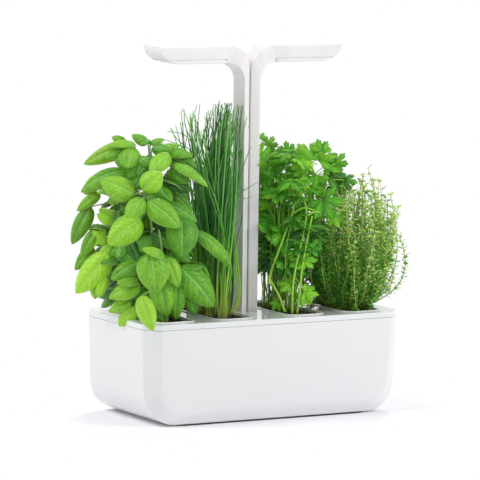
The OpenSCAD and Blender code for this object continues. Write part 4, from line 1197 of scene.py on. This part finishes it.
class GARDEN_OT_chives(bpy.types.Operator):
    """Grows the chives: fine upright blades"""
    bl_idname = "garden.chives"
    bl_label = "Chives"

    blades: IntProperty(name="Blades", description="Number of blades", default=330, min=1)

    def execute(self, context):
        root = root_of(*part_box("chives_soil"))
        rng = np.random.default_rng(SEEDS["chives"])
        n = self.blades
        angle, reach = rng.uniform(0, 2 * np.pi, n), np.sqrt(rng.uniform(0, 1, n))
        spot = np.stack([np.cos(angle), np.sin(angle)], 1) * reach[:, None]
        foot_area, tallest = [0.014, 0.046], 0.256
        start = root + on_ground(spot * foot_area)
        spray = (rng.uniform(0, 1, n) > 0.72)[:, None]
        height = tallest - 0.165 * rng.uniform(0, 1, n) ** 1.5
        loosening = 0.0115 - 0.030 * (height - 0.10)
        bundle = np.stack([0.0185 + 0.3 * spot[:, 0] * 0.014 + rng.normal(0, 1, n) * loosening,
                           spot[:, 1] * 0.015 - 0.003 + rng.normal(0, 0.006, n), height], 1)
        loose = np.stack([spot[:, 0] * 0.014 + rng.uniform(-0.034, 0.014, n),
                          spot[:, 1] * 0.028 + rng.uniform(-0.008, 0.022, n),
                          rng.uniform(0.17, 0.246, n)], 1)
        end = root + np.where(spray, loose, bundle)
        bow = on_ground(rng.normal(0, 0.009, (n, 2))) + (end - start) * [0.1, 0.1, 0.5]
        steps = 22
        t = np.linspace(0, 1, steps)[None, :, None]
        sway = (rng.normal(0, 0.0042, (n, 1, 2))
                * np.sin(t * rng.uniform(3, 8, (n, 1, 1)) + rng.uniform(0, 6, (n, 1, 1)))
                * np.sqrt(t))
        paths = bowed(start, end, bow, steps, rng.uniform(0, 0.004, n)) + on_ground(sway)
        shoots = Sheets()
        stalks(shoots, paths, thick=rng.uniform(0.0016, 0.0027, n), thin=0.0009, sides=6,
               tone=rng.uniform(0.0, 1.0, n))
        for strand in CHIVE_STRANDS:
            u, v = np.array(strand, float).T
            path = smooth_path(in_view(u, v, STRAND_DEPTH, root), 30)
            stalks(shoots, path[None], thick=0.0022, thin=0.0008, sides=6, tone=0.8)
        f = Finish("chive blade")
        shade, along, cloud = f.grain(0), f.grain(1), f.noise(90.0, 3.0)
        green = f.ramp(along + cloud * 0.1 - 0.05,
                       (0.0, (0.66, 0.56, 0.28)), (0.045, (0.38, 0.56, 0.07)),
                       (0.28, (0.18, 0.50, 0.02)), (0.5, (0.05, 0.31, 0.02)),
                       (1.0, (0.13, 0.38, 0.06)))
        # Painted shade: blades of low shade value are mixed towards near black, for the dark gaps
        # in the bundle.
        dark = f.mix(along.over(0.05, 0.4), (0.03, 0.07, 0.004), (0.005, 0.06, 0.010))
        blade = f.mix(shade.over(0.0, 0.75), dark, green)
        # Painted highlight: blades of the highest shade value are mixed towards a pale green.
        skin = f.mix(shade.over(0.80, 1.0) * 0.45, blade, (0.34, 0.62, 0.18))
        # The glow is painted light, for the light that comes through the blades.
        f.glow(0.08)
        finish = f.done(Base_Color=skin, Emission_Color=skin, Roughness=0.30 + cloud * 0.1,
                        Normal=f.bump(f.noise(1500.0, 2.0), 0.00005))
        place(shoots.piece("chives_stems", finish, weld=0), "chives_unit", "chives_leaf",
              "chives_plant")
        return {"FINISHED"}


# Leaves of the parsley that face the camera: foot u, v in the view, reach in mm, direction in
# degrees anticlockwise from the right, depth in mm, turn towards the sky in degrees, tone from 1
# to 10.
# The tone column paints each leaf's light and shade along with its own green: low for leaves seen
# in shade, high for lit ones.
PARSLEY_LEAVES = (
    (312, 160, 26, 128, 34, 30, 8), (318, 160, 24, 62, 30, 35, 7), (325, 166, 23, 20, 26, 40, 5),
    (261, 139, 9, 70, 0, 20, 6), (260, 157, 19, 45, 6, 35, 7), (279, 163, 16, 105, 14, 30, 5),
    (277, 174, 21, 178, 24, 25, 4), (296, 172, 20, 195, 30, 30, 4), (297, 181, 19, 280, 44, 15, 10),
    (326, 173, 28, 352, 26, 35, 2), (312, 186, 21, 315, 34, 20, 7), (322, 199, 28, 300, 42, 12, 5),
    (281, 224, 22, 200, 26, 25, 3), (263, 213, 12, 100, 6, 10, 10), (308, 212, 19, 215, 34, 20, 3),
    (301, 261, 17, 155, 44, 35, 8), (302, 260, 18, 15, 44, 35, 9), (291, 284, 17, 168, 46, 30, 9),
    (305, 292, 17, 350, 48, 25, 10), (302, 297, 14, 320, 48, 20, 9), (258, 268, 9, 170, 6, 20, 1),
    (278, 303, 11, 230, 40, 20, 8), (270, 258, 17, 215, 18, 20, 1), (274, 192, 17, 230, 20, 20, 1),
    (286, 200, 18, 120, 26, 25, 2), (322, 186, 17, 190, 34, 30, 8), (288, 152, 14, 100, 16, 30, 5),
    (303, 228, 18, 150, 26, 20, 1), (316, 236, 17, 340, 30, 20, 2), (272, 240, 18, 150, 16, 20, 2),
    (268, 175, 18, 90, 8, 30, 4), (334, 184, 19, 320, 18, 20, 3), (264, 228, 16, 60, 8, 20, 2),
    (310, 250, 16, 60, 34, 25, 5), (289, 232, 17, 20, 24, 20, 2), (298, 298, 14, 70, 40, 20, 7),
    (322, 152, 17, 110, 32, 30, 6), (335, 164, 18, 50, 28, 35, 5), (304, 168, 18, 170, 34, 25, 8),
    (344, 180, 17, 350, 24, 30, 3), (268, 146, 14, 60, 4, 30, 5), (318, 176, 18, 250, 36, 20, 7),
    (268, 208, 15, 90, 16, 25, 9), (334, 216, 15, 290, 36, 20, 8), (284, 188, 18, 200, 24, 25, 3),
)


# Bent stalks in front of the parsley: points u, v in the view, and their depth in metres.
BEND_DEPTH = 0.048
PARSLEY_BENDS = (
    ((269, 284), (272, 269), (292, 214), (294, 194)), ((292, 214), (303, 208), (314, 210)),
    ((292, 315), (294, 278), (306, 216), (300, 191)), ((306, 216), (314, 212), (320, 212)),
    ((297, 314), (300, 290), (303, 262), (312, 216)), ((285, 312), (279, 296), (268, 276)),
)


class GARDEN_OT_parsley(bpy.types.Operator):
    """Grows the parsley: bent stalks with five-lobed toothed leaves"""
    bl_idname = "garden.parsley"
    bl_label = "Parsley"

    count: IntProperty(name="Stalks", description="Number of stalks", default=84, min=1)

    def execute(self, context):
        root = root_of(*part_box("parsley_soil"))
        _, right, up, back = eye_frame()
        rng = np.random.default_rng(SEEDS["parsley"])
        n = self.count
        spot, _, reach = even_spots(n)
        foot_area, crown_area, lean, tallest = [0.013, 0.040], [0.034, 0.052], [0.003, 0], 0.196
        start = root + on_ground(spot * foot_area)
        height = tallest - 0.115 * rng.uniform(0, 1, n) ** 1.5 - 0.03 * reach ** 2
        spread = spot * crown_area * (0.55 + 0.45 * height / tallest)[:, None] + lean
        end = root + np.concatenate([spread, height[:, None]], axis=1)
        paths = bowed(start, end, UP * 0.07 + on_ground(rng.normal(0, 0.013, (n, 2))), 16)
        shoots, sheets = Sheets(), Sheets()
        stalks(shoots, paths, thick=rng.uniform(0.0011, 0.0021, n), thin=0.0009, sides=6,
               tone=rng.uniform(0.3, 0.9, n))
        way = unit(np.concatenate([spot + rng.normal(0, 0.4, (n, 2)),
                                   rng.uniform(-0.3, 0.5, (n, 1))], axis=1))
        wide = rng.uniform(0.016, 0.030, n)
        small = paths[:, 11]
        twig = unit(way * [-1, 1, 1] + rng.normal(0, 0.5, (n, 3)))
        twig_end = small + twig * 0.014
        stalks(shoots, bowed(small, twig_end, twig * 0.006, 6),
               thick=0.0012, thin=0.0009, sides=5, tone=0.8)
        bases = np.concatenate([end, twig_end, paths[::2, 6]])
        ways = np.concatenate([way, twig, twig[::2]])
        widths = np.concatenate([wide, wide * 0.7, wide[::2] * 0.75])
        faces = UP + ways * 0.4 + back * 0.5 + rng.normal(0, 0.25, ways.shape)
        # Painted light: leaves higher on the plant get a paler tone, and lower ones a darker one as
        # painted shade.
        rise = np.clip((bases[:, 2] - root[2] - 0.06) / 0.13, 0, 1)
        tone = rng.uniform(0.0, 0.35, len(bases)) + 0.4 * rise ** 2
        grid, values = fans(bases, ways, faces, widths, tone, rays=49, rings=3, rng=rng)
        sheets.add(grid, values=values)
        u, v, wide, aim, depth, tilt, tone = np.array(PARSLEY_LEAVES, float).T
        foot = in_view(u, v, depth / 1000, root)
        a = np.radians(aim)[:, None]
        grid, values = fans(foot, right * np.cos(a) + up * np.sin(a), towards_sky(tilt),
                            wide / 1000, tone * 0.08 - 0.06, rays=81, rings=5, rng=rng)
        sheets.add(grid, values=values)
        spots = paths[:, 8:].reshape(-1, 3)
        stalks(shoots, from_nearest(spots, foot, below=0.02, rise=0.008),
               thick=0.0018, thin=0.0011, sides=6, tone=0.9)
        for bend in PARSLEY_BENDS:
            u, v = np.array(bend, float).T
            path = smooth_path(in_view(u, v, BEND_DEPTH, root), 26)
            stalks(shoots, path[None], thick=0.0030, thin=0.0021, sides=7, tone=1.0)
        skin = foliage("parsley leaf", deep_and_shaded=(0.006, 0.055, 0.008), middle=(0.070, 0.36, 0.014),
                       bright_and_lit=(0.30, 0.68, 0.035), rib=(0.46, 0.70, 0.20),
                       ribs=3.0, gloss=0.42, shine=0.25, glow=0.10)
        stem_skin = stalk_skin("parsley stalk", low=(0.36, 0.60, 0.09), high=(0.32, 0.70, 0.045))
        plant_pieces("parsley", sheets, shoots, skin, stem_skin, thick=0.0003)
        return {"FINISHED"}


class GARDEN_OT_thyme(bpy.types.Operator):
    """Grows the thyme: wiry twigs with pairs of tiny leaves"""
    bl_idname = "garden.thyme"
    bl_label = "Thyme"

    twigs: IntProperty(name="Twigs", description="Number of twigs", default=230, min=1)
    pairs: IntProperty(name="Pairs", description="Pairs of leaves on each twig", default=22, min=1)

    def execute(self, context):
        root = root_of(*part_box("thyme_soil")) - [0, 0.014, 0]
        rng = np.random.default_rng(SEEDS["thyme"])
        n, m = self.twigs, self.pairs
        # Directions spread evenly over a sphere, less its lowest part, on a golden spiral.
        turn = np.arange(n) * GOLDEN_ANGLE
        rise = 1 - 1.72 * (np.arange(n) + 0.5) / n
        flat = np.sqrt(1 - rise ** 2)
        way = np.stack([flat * np.cos(turn), flat * np.sin(turn), rise], 1)
        foot_area, middle, crown = [0.014, 0.030], [0.008, -0.004, 0.094], [0.060, 0.060, 0.074]
        start = root + on_ground(way[:, :2] * foot_area)
        reach = rng.uniform(0.45, 1.0, (n, 1)) ** 0.6
        end = root + middle + way * crown * reach + rng.normal(0, 0.005, (n, 3))
        end[:, 0] += 0.008 * np.clip(way[:, 2], 0, 1)
        bow = (end - start) * [1.1, 1.1, 0.28]
        steps, lowest = 20, 0.26  # points along a twig, and where its first leaves stand
        paths = bowed(start, end, bow + rng.normal(0, 0.014, (n, 3)), steps)
        t = np.linspace(0, 1, steps)[None, :, None]
        sway = rng.normal(0, 0.0022, (n, 1, 3)) * np.sin(t * rng.uniform(5, 11, (n, 1, 1))) * t
        paths = paths + sway
        shoots, sheets = Sheets(), Sheets()
        stalks(shoots, paths, thick=0.0017, thin=0.0010, sides=4, tone=rng.uniform(0.35, 1.0, n))
        t = np.linspace(lowest, 1.0, m) * (steps - 1)
        step = np.minimum(t.astype(int), steps - 2)
        share = (t - step)[:, None]
        at = (paths[:, step] * (1 - share) + paths[:, step + 1] * share
              + rng.normal(0, 0.0004, (n, m, 3)))
        along = unit(paths[:, step + 1] - paths[:, step])
        spin = rng.uniform(0, FULL_TURN, (n, 1)) + np.arange(m) * QUARTER_TURN
        side = unit(np.cross(along, [0.3, 0.2, 1.0]))
        third = np.cross(along, side)
        out = side * np.cos(spin)[..., None] + third * np.sin(spin)[..., None]
        for sign in (1, -1):
            heading = unit(out * sign + along * 0.55)
            self.add_leaves(sheets, at, heading, along, rng)
        skin = foliage("thyme leaf", deep_and_shaded=(0.005, 0.050, 0.008), middle=(0.10, 0.40, 0.032),
                       bright_and_lit=(0.60, 0.88, 0.24), rib=(0.30, 0.46, 0.15),
                       ribs=3.0, gloss=0.42, shine=0.2, glow=0.08)
        bark = stalk_skin("thyme twig", low=(0.34, 0.32, 0.08), high=(0.78, 0.88, 0.24))
        blades = sheets.piece("thyme_leaves", skin)
        twigs = shoots.piece("thyme_twigs", bark, weld=0)
        place(twigs, "thyme_unit", "thyme_leaf")
        place(blades, "thyme_unit", "thyme_leaf", "thyme_plant")
        return {"FINISHED"}

    def add_leaves(self, sheets, at, heading, along, rng):
        """Closed leaves of eight triangles: a pointed oval with a ridge above and a keel below."""
        n, m = at.shape[:2]
        length = rng.uniform(0.0046, 0.0094, (n, m, 1))
        wide = length * rng.uniform(0.28, 0.42, (n, m, 1))
        cross = unit(np.cross(heading, along))
        up = np.cross(cross, heading)
        tip = at + heading * length
        middle = at + heading * length * 0.5
        left, right = middle + cross * wide, middle - cross * wide
        over, under = middle + up * length * 0.05, middle - up * length * 0.05
        ring = np.stack([at, at, at, at, left, over, right, under, tip, tip, tip, tip], axis=2)
        # Painted light and shade: leaves to the right, front and top, towards the key light, get a
        # paler tone, those to the lower left and back a darker one.
        towards_light = (at - at.mean(axis=(0, 1))) @ [0.7, -0.4, 0.6] / 0.06
        tone = rng.uniform(0.25, 1.2, (n, m)) * np.clip(0.62 + 0.55 * towards_light, 0.04, 1.2)
        values = np.stack([tone, 0.5 + 0 * tone, 0.5 + 0 * tone], -1).reshape(-1, 1, 1, 3)
        sheets.add(ring.reshape(n * m, 3, 4, 3), wrap_cols=True, values=values)


# ---- Parts that keep their CAD shape ----


class GARDEN_OT_fittings(bpy.types.Operator):
    """Gives every part that keeps its shape its own finish"""
    bl_idname = "garden.fittings"
    bl_label = "Fittings"

    def execute(self, context):
        finishes = {
            "spine_grey": moulded("slot strip", (0.115, 0.105, 0.125), 0.45),
            "black_rubber": rubber("black rubber", (0.02, 0.02, 0.022)),
            "dark_plastic": moulded("dark moulding", (0.03, 0.03, 0.033), 0.5, relief=0.00004),
            "tank_grey": moulded("tank moulding", (0.62, 0.65, 0.68), 0.4, relief=0.00004,
                                 shift=0.05),
            "steel": metal("screw steel", (0.62, 0.62, 0.63), 0.32),
            "heatsink_metal": metal("sink metal", (0.80, 0.81, 0.82), 0.38, brushed=1.0),
            "board_green": circuit("green board", (0.012, 0.14, 0.05)),
            "board_white": circuit("white board", (0.72, 0.73, 0.72)),
            "diode": moulded("diode resin", (0.85, 0.70, 0.18), 0.2, coat=0.6),
            "diffuser_white": moulded("opal sheet", (0.86, 0.87, 0.86), 0.3, coat=0.3),
            "pad_felt": felt("pad felt", (0.42, 0.43, 0.44)),
            "wick": felt("wick felt", (0.78, 0.76, 0.70)),
            "float_foam": moulded("float foam", (0.82, 0.83, 0.83), 0.6, relief=0.00008),
            "float_red": moulded("red tip", (0.62, 0.03, 0.02), 0.3, coat=0.4),
            "button_grey": moulded("button grey", (0.60, 0.62, 0.64), 0.42),
            "white_gloss": moulded("plain white", (0.9, 0.905, 0.915), 0.2),
        }
        for row in frame["record"]["subparts"]:
            node, slot = frame["nodes"][row["node"]], row["material_slot"]
            if slot in finishes:
                node.data.materials.clear()
                node.data.materials.append(finishes[slot])
        cap = softened("button_cap", "power_key", 0.0006, finishes["button_grey"], 3)
        place(cap, "power_button", "button_grey", "button_cap")
        foot = softened("foot_strip", "foot_ring", 0.0004, finishes["black_rubber"])
        place(foot, "root", "black_rubber", "foot_strip")
        return {"FINISHED"}


# ---- Stage ----


class GARDEN_OT_stage(bpy.types.Operator):
    """Sets the pale floor, the soft light and the camera"""
    bl_idname = "garden.stage"
    bl_label = "Stage"

    def execute(self, context):
        scene = context.scene
        s = scene.garden_stage
        scene.view_settings.view_transform = "Standard"
        reach = (-s.floor, s.floor)
        floor_grid = np.array([[[x, y, 0.0] for x in reach] for y in reach])
        floor_skin = floor_finish(s.white_from, s.white_to)
        floor = Sheets().add(floor_grid).piece("table", floor_skin, weld=0, outward=False)
        set_world(scene, s.daylight)
        set_lights()
        set_camera(scene, s.focal)
        return {"FINISHED"}


def floor_finish(start, end):
    """A pale matt floor that keeps the shadow near the object and fades to plain white away
    from it, for the camera and in reflections."""
    end_x, front_y = 0.172, 0.086  # of the casing's ends and its front and back, from the middle
    f = Finish("pale floor")
    shown = f.white_rays()
    pale = f.mix(f.noise(2.0), (0.94, 0.95, 0.98), (0.95, 0.96, 0.99))
    f.done(Base_Color=f.mix(shown, (0.88, 0.89, 0.91), pale), Roughness=0.9,
           Specular_IOR_Level=0.0, Emission_Color=(1.0, 1.0, 1.0), Emission_Strength=0.05)
    x, y = (f.node("SeparateXYZ", None, {"Vector": f.place()}, out=k).absolute() for k in (0, 1))
    x, y = (x - end_x).larger(0.0), (y - front_y).larger(0.0)
    away = ((x * x + y * y) ** 0.5).over(start, end)
    white = f.node("Emission", None, {"Strength": 1.0})
    near = Wire(f, f.shader.outputs["BSDF"])
    blend = f.node("MixShader", None, {0: away * shown, 1: near, 2: white})
    f.link(blend, f.tree.nodes["Material Output"].inputs["Surface"])
    return f.material


def set_world(scene, strength):
    """An even sky: plain light for the object, and pure white where the camera, a reflection
    or glass looks past it."""
    world = bpy.data.worlds.new("daylight")
    world.use_nodes = True
    sky = Nodes(world.node_tree)
    paint = sky.tree.nodes["Background"]
    sky.link((1.0, 1.0, 1.0), paint.inputs["Color"])
    level = sky.node("MapRange", None,
                     {"Value": sky.white_rays(), "To Min": strength, "To Max": 1.0})
    sky.link(level, paint.inputs["Strength"])
    scene.world = world


# Lights: name, kind, place, the point they aim at, power in watts and other settings.
LIGHTS = (
    ("key", "AREA", (1.6, -2.0, 1.5), (0, 0, 0.16), 31.0, {"size": 1.3}),
    ("fill", "AREA", (-2.0, 0.3, 2.2), (0, 0, 0.15), 34.0, {"size": 1.2}),
    ("back", "AREA", (1.1, 1.3, 1.9), (0, 0, 0.2), 17.0, {"size": 0.9}),
    ("spot", "SPOT", (-1.0, -1.9, 1.6), (-0.05, 0, 0.38), 45.0,
     {"spot_size": np.radians(10), "spot_blend": 1.0, "shadow_soft_size": 0.15}),
)


def set_lights():
    """A large soft key from the front right, a fill from the left, a light from behind
    that throws the shadow to the left, and a soft spot on the lamp from the left in front."""
    for name, kind, where, aim, power, settings in LIGHTS:
        lamp = bpy.data.lights.new(name, kind)
        lamp.energy = power
        for key, value in settings.items():
            setattr(lamp, key, value)
        holder = linked(name, lamp)
        holder.location = where
        holder.rotation_euler = (Vector(aim) - Vector(where)).to_track_quat("-Z", "Y").to_euler()


def set_camera(scene, focal):
    """The camera looks along its own -Z from the place of eye_frame."""
    where, right, up, back = eye_frame()
    eye = bpy.data.cameras.new("camera")
    eye.lens, eye.sensor_width, eye.clip_end = focal, SENSOR_WIDTH, 30.0
    holder = linked("camera", eye)
    turn = Matrix(np.stack([right, up, back], 1).tolist()).to_4x4()
    turn.translation = Vector(where)
    holder.matrix_world = turn
    scene.camera = holder


# ---- Panel and start ----


OPERATORS = (GARDEN_OT_casing, GARDEN_OT_deck, GARDEN_OT_pods, GARDEN_OT_soil, GARDEN_OT_lamp,
             GARDEN_OT_basil, GARDEN_OT_chives, GARDEN_OT_parsley, GARDEN_OT_thyme,
             GARDEN_OT_fittings, GARDEN_OT_stage)
SHAPES = {"garden_casing": CasingShape, "garden_lamp": LampShape, "garden_stage": StageShape}


class GARDEN_PT_sidebar(bpy.types.Panel):
    """Lists the steps that build the garden"""
    bl_idname = "GARDEN_PT_sidebar"
    bl_label = "Countertop garden"
    bl_space_type = "VIEW_3D"
    bl_region_type = "UI"
    bl_category = "Garden"

    def draw(self, context):
        for step in OPERATORS:
            self.layout.operator(step.bl_idname)
        for key, group in SHAPES.items():
            box = self.layout.box()
            for prop in group.__annotations__:
                box.prop(getattr(context.scene, key), prop)


def register():
    for kind in (*SHAPES.values(), *OPERATORS, GARDEN_PT_sidebar):
        bpy.utils.register_class(kind)
    for key, group in SHAPES.items():
        setattr(bpy.types.Scene, key, PointerProperty(type=group))


def unregister():
    for key in SHAPES:
        delattr(bpy.types.Scene, key)
    for kind in reversed((*SHAPES.values(), *OPERATORS, GARDEN_PT_sidebar)):
        bpy.utils.unregister_class(kind)


def main():
    register()
    for step in OPERATORS:
        group, name = step.bl_idname.split(".")
        getattr(getattr(bpy.ops, group), name)()


if __name__ == "__main__":
    main()
